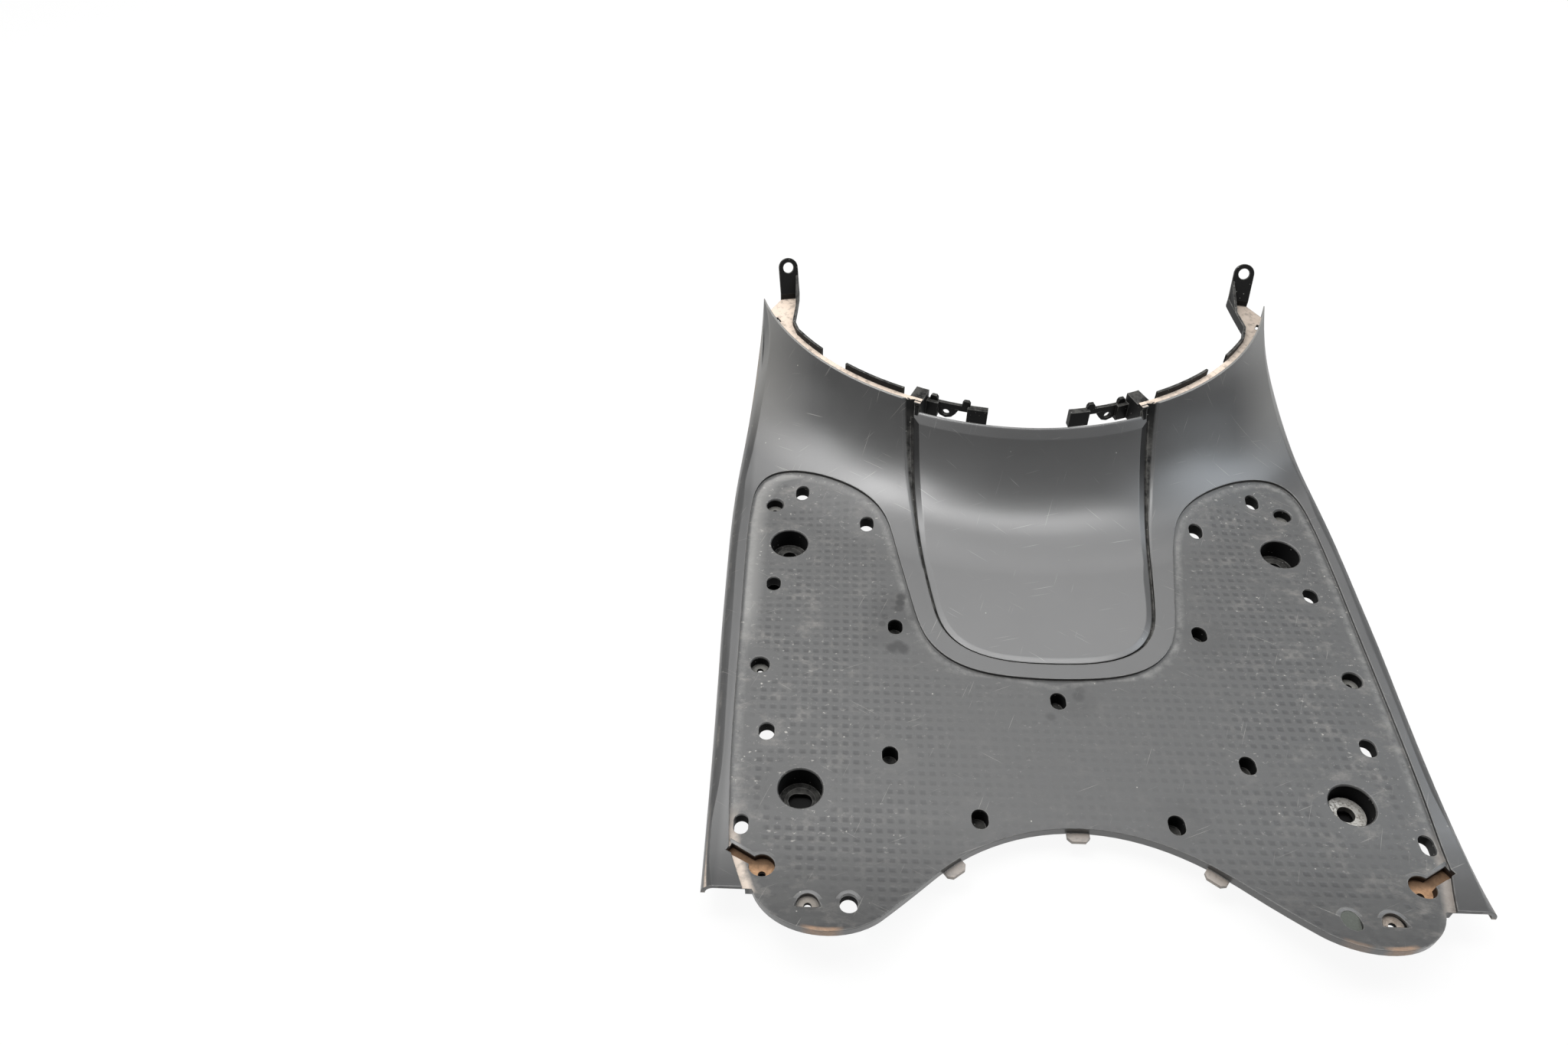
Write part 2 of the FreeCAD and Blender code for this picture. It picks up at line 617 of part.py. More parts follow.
def ear():
    """Right ear: leaning eye plate, its foot on the shelf and the side wall of its neck."""
    shelf = V(0, 0, flange_z())
    corner = on_circle(UPSTANDS[-1][1], SHIELD_R)
    foot = corner + V(*EAR_FOOT_STEP, 0)
    half = EAR_WIDTH / 2
    round_y = EAR_LENGTH - half
    edges = [
        Part.LineSegment(V(-half, 0, 0), V(half, 0, 0)).toShape(),
        Part.LineSegment(V(half, 0, 0), V(half, round_y, 0)).toShape(),
        Part.Arc(V(half, round_y, 0), V(0, EAR_LENGTH, 0), V(-half, round_y, 0)).toShape(),
        Part.LineSegment(V(-half, round_y, 0), V(-half, 0, 0)).toShape(),
    ]
    plate = Part.Face(Part.Wire(edges)).extrude(V(0, 0, -EAR_WALL))
    plate = plate.cut(Part.makeCylinder(EAR_HOLE_R, 4 * EAR_WALL, V(0, round_y, -2 * EAR_WALL), UP))
    plate.rotate(V(0, 0, 0), V(1, 0, 0), 90 - EAR_LEAN)
    plate.rotate(V(0, 0, 0), UP, -EAR_TURN)
    plate.translate(foot + shelf + UP * EAR_RISER)

    turn = math.radians(-EAR_TURN)
    across = V(math.cos(turn), math.sin(turn), 0)
    forward = V(-math.sin(turn), math.cos(turn), 0)
    outer = foot + across * half
    inner = foot - across * (half - UPSTAND_WALL)
    back = forward * EAR_WALL
    neck = [lip_end()] + [corner + V(x, y, 0) for x, y in NECK_STEPS] + [inner]
    edge = [on_circle(angle, SHIELD_R + NECK_OVERLAP) for angle in NECK_EDGE + [UPSTANDS[-1][1]]]
    base = [inner + back, outer + back, outer] + edge + neck
    base = Part.Face(Part.makePolygon(base + [base[0]]))
    base.translate(shelf)
    base = base.extrude(V(0, 0, -SHELF_WALL))

    left = foot - across * half
    riser = Part.Face(Part.makePolygon([left, outer, outer + back, left + back, left]))
    riser.translate(shelf - UP * SHELF_WALL)
    riser = riser.extrude(UP * (SHELF_WALL + EAR_RISER))

    neck.append(inner + back)
    outside = [point + V(-UPSTAND_WALL, 0, 0) for point in reversed(neck)]
    wall = Part.Face(Part.makePolygon(neck + outside + [neck[0]]))
    wall.translate(shelf - UP * SHELF_WALL)
    wall = wall.extrude(V(0, 0, SHELF_WALL + UPSTAND))

    lean = math.radians(EAR_LEAN)
    middle = forward * math.sin(lean) + UP * math.cos(lean)
    gusset = [neck[-3] + UP * UPSTAND, neck[-1], inner + UP * EAR_RISER + middle * EAR_LENGTH * GUSSET_SHARE]
    gusset = Part.Face(Part.makePolygon(gusset + [gusset[0]])).extrude(V(-UPSTAND_WALL, 0, 0))
    gusset.translate(shelf)
    return plate.fuse([base, riser, wall, gusset])


def flange():
    """Right half of the shelf behind the far edge, with its upright lips and ear."""
    shelf_z = flange_z()
    inner = SHIELD_R - SHELF_WIDTH
    shelf = ring_piece(inner, SHIELD_R + SHELF_OVERLAP, shelf_z - SHELF_WALL, shelf_z,
                       bearing(BLOCK_X[0]), SHELF_END)
    parts = [ear()]
    for start, end in UPSTANDS:
        parts.append(ring_piece(inner - UPSTAND_WALL, inner, shelf_z - SHELF_WALL,
                                shelf_z + UPSTAND, start, end))
    place = on_circle(UPSTANDS[-1][1], SHIELD_R) + V(*EAR_SLOT_STEP, 0)
    slot = Part.makeBox(*EAR_SLOT_SIZE, 4 * SHELF_WALL, place + UP * (shelf_z - 2 * SHELF_WALL))
    slot.rotate(place, UP, EAR_SLOT_TURN)
    return shelf.fuse(parts).cut(slot)


def edge_chamfer(edge_r, run, slope, sink):
    """Ring that slopes off the far edge of the cove, or of a face that lies sink under it."""
    foot = SHIELD_Y + edge_r + run
    inner = SHIELD_Y + edge_r - EDGE_REACH
    z = top_z(0, SHIELD_Y - edge_r - run, sink)
    rise = (foot - inner) * math.tan(math.radians(slope))
    high = z + EDGE_ABOVE
    profile = Part.makePolygon([
        V(0, foot, z), V(0, inner, z + rise), V(0, inner, high), V(0, foot, high), V(0, foot, z),
    ])
    return Part.Face(profile).revolve(V(0, SHIELD_Y, 0), UP, 360)


def radial_plate(x, radius, wall, outline):
    """Upright plate that faces the shield axis; its outline is given across and up."""
    loop = [V(across, 0, up) for across, up in outline]
    plate = Part.Face(Part.makePolygon(loop + [loop[0]])).extrude(V(0, wall, 0))
    angle = math.degrees(math.asin(x / radius))
    plate.rotate(V(0, 0, 0), UP, angle)
    plate.translate(on_circle(angle, radius))
    return plate


def bracket(skin):
    """Right bracket in front of the cover: arm, two pads, block under the wing, nubs and screw lug."""
    inner = BRACKET_R - BRACKET_WALL
    high = top_z(0, SHIELD_Y - SHIELD_R) - BRACKET_DROP
    low = high - BRACKET_ARM_H
    arm = ring_piece(inner, BRACKET_R, low, high, bearing(PADS_X[0][0]), bearing(PADS_X[-1][1]))
    parts = []
    for x_from, x_to in PADS_X:
        pad = ring_piece(inner, BRACKET_R + PAD_REACH, high - PAD_H, high, bearing(x_from), bearing(x_to))
        parts.append(pad)
    block_start = bearing(BLOCK_X[0])
    block_end = bearing(BLOCK_X[1])
    block = ring_piece(inner, SHIELD_R, high - PAD_H, high + BLOCK_RISE, block_start, block_end)
    root = ring_piece(SHIELD_R - 1, SHIELD_R + BLOCK_REACH, high - PAD_H / 2, high + 2 * BLOCK_RISE,
                      block_start, block_end)
    parts += [block, root.common(skin)]
    for x in NUBS_X:
        nub = radial_plate(x, BRACKET_R, BRACKET_WALL, NUB_OUTLINE)
        nub.translate(UP * high)
        parts.append(nub)
    lug = radial_plate(LUG_X, BRACKET_R, BRACKET_WALL, LUG_OUTLINE)
    lug.translate(UP * low)
    parts.append(lug)
    place = on_circle(math.degrees(math.asin(LUG_X / BRACKET_R)), BRACKET_R) + UP * (low - LUG_HOLE_DROP)
    inward = V(-place.x, SHIELD_Y - place.y, 0).normalize()
    reach = 2 * BRACKET_WALL
    eye = Part.makeCylinder(LUG_HOLE_R, 2 * reach, place - inward * reach, inward)
    return arm.fuse(parts).cut(eye)


def clip(angle):
    """Clip tongue on the rear rim, on the right or in the middle."""
    turn = math.radians(angle)
    reach = REAR_ARC_R - CLIP_REACH
    half = CLIP_WIDTH / 2
    z = mat_z(0, REAR_MID_Y - REAR_ARC_R * (1 - math.cos(turn))) - CLIP_SINK
    points = [V(-half, REAR_ARC_R + WALL, z), V(half, REAR_ARC_R + WALL, z), V(half, reach + 2.5, z),
              V(half - 2.5, reach, z), V(2.5 - half, reach, z), V(-half, reach + 2.5, z)]
    tongue = Part.Face(Part.makePolygon(points + [points[0]])).extrude(V(0, 0, -CLIP_WALL))
    tongue.rotate(V(0, 0, 0), UP, -angle)
    tongue.translate(V(0, REAR_MID_Y - REAR_ARC_R, 0))
    return tongue


def ribs(inside):
    """Lattice of ribs under the mat floor, kept inside the given block."""
    bars = []
    for x in RIB_XS:
        bars.append(Part.makeBox(RIB_WALL, FAR, FAR, V(x - RIB_WALL / 2, -FAR / 2, LOW)))
    for y in RIB_YS:
        bars.append(Part.makeBox(FAR, RIB_WALL, FAR, V(-FAR / 2, y - RIB_WALL / 2, LOW)))
    return bars[0].multiFuse(bars[1:]).common(inside)


def build_board(faces):
    """The board as one moulding: its right half, joined to its mirror image."""
    half = faces["top"].common(plan_column(0.0, SHIELD_R))
    rim = edge_chamfer(SHIELD_R, EDGE_CHAMFER, EDGE_SLOPE, 0.0)
    for cutter in (under_cutter(), rim, side_cutter(0.0)):
        half = half.cut(cutter)

    mat_zone = mat_column(WALL)
    cover_zone = cover_column(-WALL, SHIELD_R - 30)
    inner_plan = plan_column(WALL, SHIELD_R - 25).cut(side_cutter(WALL))
    deep = faces["mat_under"].common(inner_plan)
    under_ledge = faces["ledge_under"].common(inner_plan)
    shallow = faces["under"].common(inner_plan)
    gap_corner = V(STRIP_GAP_X, STRIP_END_Y - STRIP_GAP_LENGTH, LOW)
    strip_end = Part.makeBox(FAR, 2 * STRIP_GAP_LENGTH, FAR, gap_corner)
    strip_end = faces["under"].common(strip_end).cut(side_cutter(WALL))
    hollow = under_ledge.fuse([deep.cut(cover_zone), shallow.cut([mat_zone, cover_zone]), strip_end])

    recess = faces["above_mat"].common(mat_column(0.0))
    seat = faces["above_ledge"].common(cover_column(0.0, SHIELD_R - 30))
    opening = cover_column(LEDGE, SHIELD_R - 30)
    for cutter in (hollow, recess, seat, opening):
        half = half.cut(cutter)

    rib_block = faces["mat_under"].cut(faces["rib_foot"]).common(inner_plan)
    rib_block = rib_block.common(mat_column(-RIB_CLEAR)).cut(cover_zone)
    walls, hollows = pockets()
    key_wall, key_hollow = key_pocket()
    added = walls + [key_wall, ribs(rib_block), flange(), bracket(faces["mat_top"])]
    added += [clip(angle) for angle in CLIP_ANGLES]
    half = half.fuse(added)

    def taper(y):
        return max((y - REVEAL_END_Y) / (COVER_POINTS[0][1] - REVEAL_END_Y), REVEAL_LEAST)

    line = [point for point in reversed(COVER_POINTS) if point[1] > REVEAL_END_Y - REVEAL_LEAD]
    line.append(REVEAL_TOP)
    reveal = wedge(stations_along(line, lambda y: REVEAL_WIDTH * taper(y), lambda y: REVEAL_DROP * taper(y)))
    half = half.cut(hollows + [key_hollow]).cut(reveal)
    return half.fuse(half.mirror(V(0, 0, 0), V(1, 0, 0)))


def build_cover(faces):
    """The tongue-shaped centre cover, bevelled round its edge."""
    plate = faces["cover_top"].cut(faces["cover_under"])
    cover = plate.common(cover_column(COVER_GAP, COVER_TOP_R))
    half = offset_outline(COVER_POINTS, -COVER_GAP)
    half[-1] = (0.0, half[-1][1])
    line = half + mirrored(half[:-1])
    bevel = wedge(stations_along(line, lambda y: COVER_BEVEL, lambda y: COVER_SINK + COVER_BEVEL_DROP))
    return cover.cut([bevel, edge_chamfer(COVER_TOP_R, COVER_TOP_BAND, COVER_TOP_SLOPE, COVER_SINK)])


def build_collar():
    """Flanged metal collar, stepped, standing on the seat of the right rear bolt pocket."""
    x, y = BOLT_POCKETS[-1]
    seat = -BOLT_POCKET_DEPTH + SEAT_RING_H
    body = cylinder(x, y, COLLAR_BODY_R, seat, seat + COLLAR_HEIGHT)
    body = body.fuse(cylinder(x, y, COLLAR_R, seat + COLLAR_HEIGHT - COLLAR_FLANGE, seat + COLLAR_HEIGHT))
    return body.cut(cylinder(x, y, COLLAR_BORE_R, seat - 1, seat + COLLAR_HEIGHT + 1))


def build_stub():
    """Rubber stub of a torn-off mat peg, filling its hole."""
    x, y = PEG_HOLES[-1]
    top = mat_z(x, y) - STUB_SINK
    return obround(x, y, PEG_R, PEG_STRETCH, top - STUB_LENGTH, top)


def main():
    top = layer(0.0)
    mat_top = layer(MAT_DEPTH)
    ledge_top = layer(LEDGE_DEPTH)
    faces = {
        "top": top,
        "under": layer(WALL),
        "mat_under": layer(MAT_DEPTH + WALL),
        "ledge_under": layer(LEDGE_DEPTH + WALL),
        "mat_top": mat_top,
        "above_mat": layer(-5.0).cut(mat_top),
        "above_ledge": layer(-5.0).cut(ledge_top),
        "rib_foot": layer(RIB_DEPTH),
        "cover_top": layer(COVER_SINK),
        "cover_under": layer(COVER_SINK + COVER_SKIN),
    }
    nodes = {
        "floorboard": build_board(faces),
        "centre_cover": build_cover(faces),
        "bolt_collar": build_collar(),
        "mat_peg_stub": build_stub(),
    }
    rear = LOBE_Y - LOBE_R
    front = ear().BoundBox.YMax
    stand = V(0, -(rear + front) / 2, BOLT_POCKET_DEPTH + SEAT_WALL)
    print("floor origin moved by", [round(v, 3) for v in stand])
    os.makedirs("parts", exist_ok=True)
    for name, shape in nodes.items():
        shape = shape.copy()
        shape.translate(stand)
        shape.exportStep("parts/" + name + ".step")
        box = shape.BoundBox
        print(name, len(shape.Solids), shape.isValid(), round(shape.Volume / 1000, 2), "cm3",
              [round(v, 2) for v in (box.XMin, box.XMax, box.YMin, box.YMax, box.ZMin, box.ZMax)])


if __name__ == "__main__":
    main()
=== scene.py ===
import math

import bpy
import bmesh
from mathutils import Vector, Matrix

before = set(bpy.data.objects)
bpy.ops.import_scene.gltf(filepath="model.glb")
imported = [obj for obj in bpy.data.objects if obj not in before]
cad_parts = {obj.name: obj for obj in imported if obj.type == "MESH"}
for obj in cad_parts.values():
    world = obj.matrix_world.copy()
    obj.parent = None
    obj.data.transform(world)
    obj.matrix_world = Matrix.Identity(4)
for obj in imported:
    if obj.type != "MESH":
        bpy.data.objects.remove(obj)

bl_info = {
    "name": "Scooter floorboard",
    "version": (1, 0, 0),
    "blender": (4, 5, 0),
    "location": "3D View > Sidebar > Floorboard",
    "description": "Finishes and studio for a moulded scooter floorboard with its centre cover",
    "category": "Object",
}

MM = 0.001
# the middle peg hole at the level of the mat floor: every place on the board is given from here
PEG_ORIGIN = Vector((0.0, -0.103084, 0.019))

# shape of the top face, from the frame's own sizes in millimetres
BORDER_RISE = 2.0
# the far edge's arc round the leg shield, and the shelf behind it
SHIELD_Y = 417.0
SHIELD_R = 212.0
SHELF_Z = 60.76
# the cove that rises to the far edge: its own radius, where it starts, and its last place short of upright
COVE_R = 110.0
COVE_BASE_R = 311.0
COVE_END = COVE_R * 0.995
# the kicked-up rear, its right lobe and the arc of the rear edge between the lobes
KICK_Y = -85.0
KICK_R = 168.0
LOBE = (144.0, -120.8)
LOBE_R = 43.2
REAR_ARC = (0.0, -211.0)
REAR_ARC_R = 122.0

# holes in the mat floor, right half: place and radius of the smooth ring round them
SMOOTH_RINGS = [
    (166.0, 183.4, 14.0), (118.3, 152.5, 14.0), (183.5, 94.0, 14.0), (182.0, -28.5, 14.0),
    (131.8, -144.5, 14.0), (100.4, 57.5, 14.0), (106.5, -43.5, 14.0), (56.0, -85.0, 14.0),
    (0.0, 0.0, 14.0), (193.4, -93.0, 13.0), (174.0, 133.5, 22.5), (160.0, -68.0, 22.5),
    (186.3, 172.6, 15.5), (189.0, 23.0, 15.5), (153.8, -145.0, 16.0), (179.8, -120.2, 16.0),
]
# how far inside and outside a ring's radius the lattice fades
RING_FADE = (3.0, 2.0)

# half width of the tongue and of the mat floor at places along Y, in millimetres
TONGUE_EDGE = [
    (-200.0, -60.0), (4.0, -30.0), (10.0, -12.0), (16.0, 8.0), (17.6, 30.0), (24.0, 55.0),
    (34.0, 70.0), (48.0, 80.0), (66.0, 86.0), (93.0, 91.0), (120.0, 96.0), (144.0, 100.5),
    (163.0, 108.0), (178.5, 122.0), (191.0, 142.0), (200.5, 164.0), (203.5, 184.0), (250.0, 190.0),
]
MAT_EDGE = [
    (-200.0, 150.0), (-136.5, 189.5), (-109.0, 199.0), (-60.0, 202.0), (0.0, 203.4), (80.0, 204.2),
    (155.0, 204.2), (183.0, 202.0), (197.0, 196.0), (203.5, 184.0), (250.0, 0.0),
]
CURVE_SPAN = (-200.0, 250.0)
CURVE_WIDTH = 250.0
# an outline's slope is read over this length, and taken to be no steeper than this
SLOPE_RUN = 2.0
STEEPEST = 4.0

# marks of use and dark spots, each with its place, reach in millimetres and strength
KEYHOLE_SPOTS = ((179.8, -120.4, 11.0), (187.0, -116.0, 7.5), (194.0, -112.0, 6.5), (200.0, -108.5, 7.0))
KEYHOLES = [(side * x, y, reach, 1.0) for side in (-1, 1) for x, y, reach in KEYHOLE_SPOTS]
STAINS = [
    (-99.0, 71.0, 24.0, 0.5), (-112.0, 52.0, 16.0, 0.35), (9.0, 3.0, 20.0, 0.3),
    (-168.0, -66.0, 30.0, 0.25), (104.0, 54.0, 22.0, 0.3), (60.0, -82.0, 20.0, 0.25),
]
DRIPS = [
    (-97.5, 74.0, 5.0, 0.8), (-96.5, 79.0, 5.0, 0.9), (-95.5, 84.0, 5.0, 0.9), (-107.0, 66.0, 4.0, 0.6),
    (-109.0, 60.0, 4.0, 0.6), (-99.0, 42.0, 5.5, 0.7), (-103.0, 39.5, 5.5, 0.7), (-96.0, 39.0, 5.5, 0.7),
    (13.0, 4.0, 5.5, 0.5), (15.0, 9.0, 4.5, 0.4), (-6.0, -12.0, 4.0, 0.4),
]
LOBE_STREAKS = [(-146.0, -162.0, 12.0, 0.55), (149.0, -162.0, 10.0, 0.5), (128.0, -160.0, 8.0, 0.2)]
SHALLOW_SEATS = [(186.3, 172.6, 9.0, 1.0), (189.0, 23.0, 9.0, 1.0), (153.8, -145.0, 9.0, 1.0)]
CLIPS = [(0.0, -91.0, 12.0, 0.3), (72.0, -116.0, 12.0, 0.3)]
DIRT_FILL = [(153.8, -145.0, 8.5, 1.0), (-153.8, -145.0, 8.5, 0.35)]
# places of the studio floor darkened with painted shade under a pocket
FLOOR_SHADE = [
    (174.0, 135.5, 17.0, 1.0), (-174.0, 135.5, 17.0, 1.0), (160.0, -66.0, 17.0, 1.0),
    (-160.0, -66.0, 17.0, 1.0), (186.0, -111.0, 11.0, 1.0), (-180.0, -110.0, 11.0, 1.0),
    (-183.5, 113.0, 15.0, 1.0),
]
# share of its reach within which a spot has its full strength
SPOT_CORE = 0.45

# scratches: length and distance between them in millimetres, and where the noise is high enough to leave one
SCRATCH_LENGTH = 40.0
SCRATCH_SPACING = 0.7
SCRATCH_PEAK = (0.75, 0.79)
# their directions in degrees and their strength
BOARD_SCRATCHES = ((24.0, -31.0, 67.0), 0.3)
COVER_SCRATCHES = ((14.0, -37.0, 71.0), 0.28)

# chips: spacing and radius in millimetres, the share of cells that stay empty, that of a chip's radius where
# it has its full strength, and that strength
FINE_CHIPS = (13.0, 0.6)
COARSE_CHIPS = (31.0, 0.9)
DEEP_SPECKS = (3.2, 0.5)
EMPTY_CELLS = 0.62
CHIP_CORE = 0.3
CHIP_STRENGTH = 0.8

# worn edges: reach in millimetres, and the cosine between the plain and the rounded normal where wear starts
# and where it is full
BOARD_EDGE = 1.0
COVER_EDGE = 1.2
EDGE_TURN = (0.995, 0.90)
EDGE_SAMPLES = 6

# the lattice of the mat floor: along either measure, how far from a line a hollow starts and where it is full
LATTICE = (("x", 0.5, 2.4), ("y", 0.9, 2.7))

# shoes scuff the board a little longer across it than along it
SCUFF_SQUEEZE = (0.7, 1.0, 1.0)

# patterns: the coordinates they lie on, size of a patch in millimetres, detail and roughness
PLASTIC_NOISES = {
    "clouds": ("place", 60.0, 4.0, 0.6),
    # moulded grain, drawn several times coarser than the real one so that it shows
    "grain": ("place", 10 / 11, 3.0, 0.5),
}
BOARD_NOISES = {
    "mottling": ("place", 7.0, 4.0, 0.7),
    "patches": ("place", 40.0, 2.0, 0.5),
    "scuffing": ("scuff_place", 3.0, 5.0, 0.7),
    "smudging": ("scuff_place", 13.0, 7.0, 0.72),
    "crumbs": ("place", 5.0, 5.0, 0.7),
    "soil": ("place", 3.0, 5.0, 0.7),
}
COLLAR_NOISES = {"grime": ("place", 3.0, 4.0, 0.5), "soil": ("place", 1.5, 5.0, 0.7)}
STUB_NOISES = {"tears": ("place", 1.3, 5.0, 0.5)}

# places: a measure or pattern, where its ramp starts and ends and, unless it is 0 and 1, what it gives there
BOARD_RAMPS = {
    # how far the face looks up: 1 is level, 0 upright
    "level": ("up", 0.55, 0.75),
    "open_face": ("up", 0.15, 0.3),
    "facing_down": ("up", -0.05, -0.3),
    "steep": ("up", 0.5, 0.3),
    "flat_shelf": ("up", 0.9, 0.97),
    # depth under the border
    "in_mat": ("depth", 1.0, 1.6),
    "above_pockets": ("depth", 2.8, 2.4),
    "in_pockets": ("depth", 3.2, 3.7),
    "in_slit": ("depth", 0.5, 1.2),
    "down_wall": ("depth", 0.1, 0.5),
    "foot_of_edge": ("depth", 5.0, 7.0),
    "under_clips": ("depth", 4.0, 4.4),
    "in_keyholes": ("depth", 2.6, 3.6),
    # distance from the middle line, to either side
    "wing_ends": ("side", 160.0, 200.0),
    "lattice_kept": ("side", 40.0, 130.0, 0.3, 1.0),
    "trodden": ("side", 70.0, 150.0, 0.25, 1.0),
    "smudged": ("side", 90.0, 165.0, 0.08, 0.40),
    "not_roll": ("side", 203.0, 202.4),
    "past_roll": ("side", 203.0, 206.0),
    "by_cover": ("side", 93.0, 92.0),
    # from left to right
    "left_leg": ("x", -150.0, -170.0),
    "corner_dust": ("x", -10.0, 10.0, 0.75, 0.4),
    "thin_dust": ("x", 150.0, 180.0, 1.0, 0.55),
    "left_strip": ("x", -203.0, -206.0, 0.0, 0.35),
    # from the rear to the front
    "off_lobes": ("y", -125.0, -85.0, 0.2, 1.0),
    "front_leg": ("y", 30.0, 70.0),
    "ahead_of_lobes": ("y", -129.0, -128.0),
    "rear_corner": ("y", -80.0, -116.0),
    "corner_end": ("y", -140.0, -136.0),
    "keyhole_rear": ("y", -116.0, -121.0, 0.25, 1.0),
    # distance from the axis of the leg shield, and height
    "low_cove": ("ring", COVE_BASE_R - 30.0, COVE_BASE_R - 65.0),
    "behind_shield": ("ring", SHIELD_R - 0.2, SHIELD_R - 0.8),
    "shield_edge": ("ring", SHIELD_R - 0.3, SHIELD_R),
    "shield_bevel": ("ring", SHIELD_R + 1.7, SHIELD_R + 1.3),
    "on_shelf": ("ring", SHIELD_R + 1.0, SHIELD_R),
    "shelf_bottom": ("z", SHELF_Z - 0.5, SHELF_Z - 0.2),
    "shelf_top": ("z", SHELF_Z + 0.5, SHELF_Z + 0.2),
    # distance from the step round the mat floor, its side or its tongue
    "off_step": ("from_step", 8.0, 16.0),
    "band_start": ("from_step", 1.0, 2.5),
    "band_end": ("from_step", 7.0, 4.0),
    "at_step": ("from_step", 4.0, 3.0),
    "leg_band_end": ("from_side", 15.0, 5.0),
    "corner_band": ("from_side", 7.0, 3.5),
    "in_tongue": ("from_tongue", -2.0, -3.0),
    # distance from the middle of a rear lobe and from that of the rear edge's arc
    "inside_lobe": ("from_lobe", LOBE_R - 0.6, LOBE_R - 1.2),
    "lobe_rim": ("from_lobe", LOBE_R - 3.2, LOBE_R - 1.5),
    "inside_rear": ("from_rear_arc", REAR_ARC_R + 0.6, REAR_ARC_R + 1.2),
    "past_rear": ("from_rear_arc", REAR_ARC_R, REAR_ARC_R - 1.0),
    # what is kept of each pattern
    "cloud": ("clouds", 0.2, 0.8),
    "mottle": ("mottling", 0.35, 0.75),
    "patch": ("patches", 0.36, 0.56, 0.4, 1.0),
    "scuff": ("scuffing", 0.61, 0.73),
    "smudge": ("smudging", 0.52, 0.74),
    "bits": ("crumbs", 0.38, 0.5, 0.6, 1.0),
    "grit": ("soil", 0.3, 0.65),
    "scuff_area": ("patch", 0.4, 0.9, 0.25, 1.0),
    "rub": ("mottle", 0.0, 1.0, 0.15, 0.6),
    "solid": ("grit", 0.0, 1.0, 0.55, 1.0),
}
COVER_RAMPS = {
    "cloud": ("clouds", 0.15, 0.85),
    "turned_side": ("sideways", 0.32, 0.5),
    "bent_down": ("up", 0.92, 0.8),
    "rear_end": ("y", 75.0, 60.0),
    "facing_down": ("up", 0.1, -0.1),
}
COLLAR_RAMPS = {"grit": ("soil", 0.52, 0.66)}

# roughness of the bare faces
PLASTIC_ROUGHNESS = 0.27
STEEL_ROUGHNESS = 0.38
RUBBER_ROUGHNESS = 0.75
# layers of the board: sRGB colour, roughness and strength
GREYED = ("#464646", 0.33, 1.0)
MAT_FLOOR = ("#343434", 0.54, 0.8)
MAT_MOTTLE = ("#40403f", 0.60, 1.0)
WING_ENDS_PALER = ("#73726f", 0.5, 0.6)
HOLLOW = ("#272728", 0.62, 0.75)
SMUDGE = ("#8e8983", 0.6, 1.0)
SCUFF = ("#b4b1aa", 0.6, 1.0)
# pale band inside the step: rubbing together with a painted highlight of the step's rounded shoulder
RUBBED_BAND_AND_HIGHLIGHT = ("#83827f", 0.5, 0.5)
RUBBED_LEG = ("#8b8a87", 0.5, 0.45)
# painted shade: black in the pockets, in the slit by the cover, on faces that look down and behind the far
# edge
DEEP_PAINTED_SHADE = ("#161616", 0.8, 1.0)
# painted shade on the steep walls of the step and of the rear rim
WALL_PAINTED_SHADE = ("#1b1b1b", 0.45, 0.85)
SEAT_GREY = ("#5c5b58", 0.75, 0.8)
SHALLOW_GREY = ("#7a7975", 0.6, 0.9)
DEEP_SPECK = ("#a8a7a2", 0.7, 0.7)
# rims and corners rubbed pale, partly a painted highlight of their rounded edges
WORN_RIM_AND_HIGHLIGHT = ("#9c9b97", 0.5, 1.0)
# the far edge's bevel, worn and painted lighter as the highlight that it catches
WORN_BEVEL_AND_HIGHLIGHT = ("#84827e", 0.45, 0.6)
STAIN = ("#262626", 0.6, 1.0)
# brownish line at the lip's foot: dirt together with painted light from the pale floor
BROWN_FOOT_AND_PAINTED_LIGHT = ("#93836f", 0.6, 0.6)
# dark mud in the keyhole pockets, which also stands as painted shade on the far half of their seats
DARK_MUD_AND_SHADE = ("#33271e", 0.8, 1.0)
PALE_DIRT = ("#a79d93", 0.9, 1.0)
BROWN_DIRT = ("#6e5f53", 0.9, 0.7)
# layers of the other pieces
COVER_GREYED = ("#4c4c4c", 0.29, 1.0)
COVER_SCUFF = ("#b9b9b7", 0.5, 1.0)
# the cover's rims rubbed pale, partly a painted highlight of their rounded edges
COVER_RIM_AND_HIGHLIGHT = ("#a5a4a0", 0.4, 0.12)
# painted shade on the cover's sides, its low rear end and faces that look down
COVER_SIDE_SHADE = ("#1a1a1a", 0.6, 1.0)
STEEL_GRIME = ("#8d8a84", 0.6, 1.0)
STEEL_GRIT = ("#57504a", 0.85, 0.7)
RUBBER_TEAR = ("#565a54", 0.95, 1.0)
# roughness of the two layers whose colour the user sets
DUST_ROUGHNESS = 0.85
MUD_ROUGHNESS = 0.8
# strength of the drips among the stains, and how much a stain dulls the face
DRIP_STRENGTH = 0.8
STAIN_DULLS = 0.75
# strength of a keyhole's spots from which its mud is full
KEYHOLE_FULL = 0.3
# specular level of an open face and of one that is dull
BOARD_GLEAM = (0.8, 0.15)
COVER_GLEAM = (0.9, 0.3)
# bumps of the board, one over the other: pattern, strength, height in millimetres and whether it is sunk
BOARD_BUMPS = (("grain", 0.5, 0.04, False), ("hollow", 1.0, 0.18, True), ("heap", 1.0, 0.8, False))
# bumps of the other pieces: strength and height in millimetres
COVER_GRAIN = (0.4, 0.04)
COLLAR_GRIT = (0.6, 0.2)
STUB_TEARS = (0.6, 0.4)

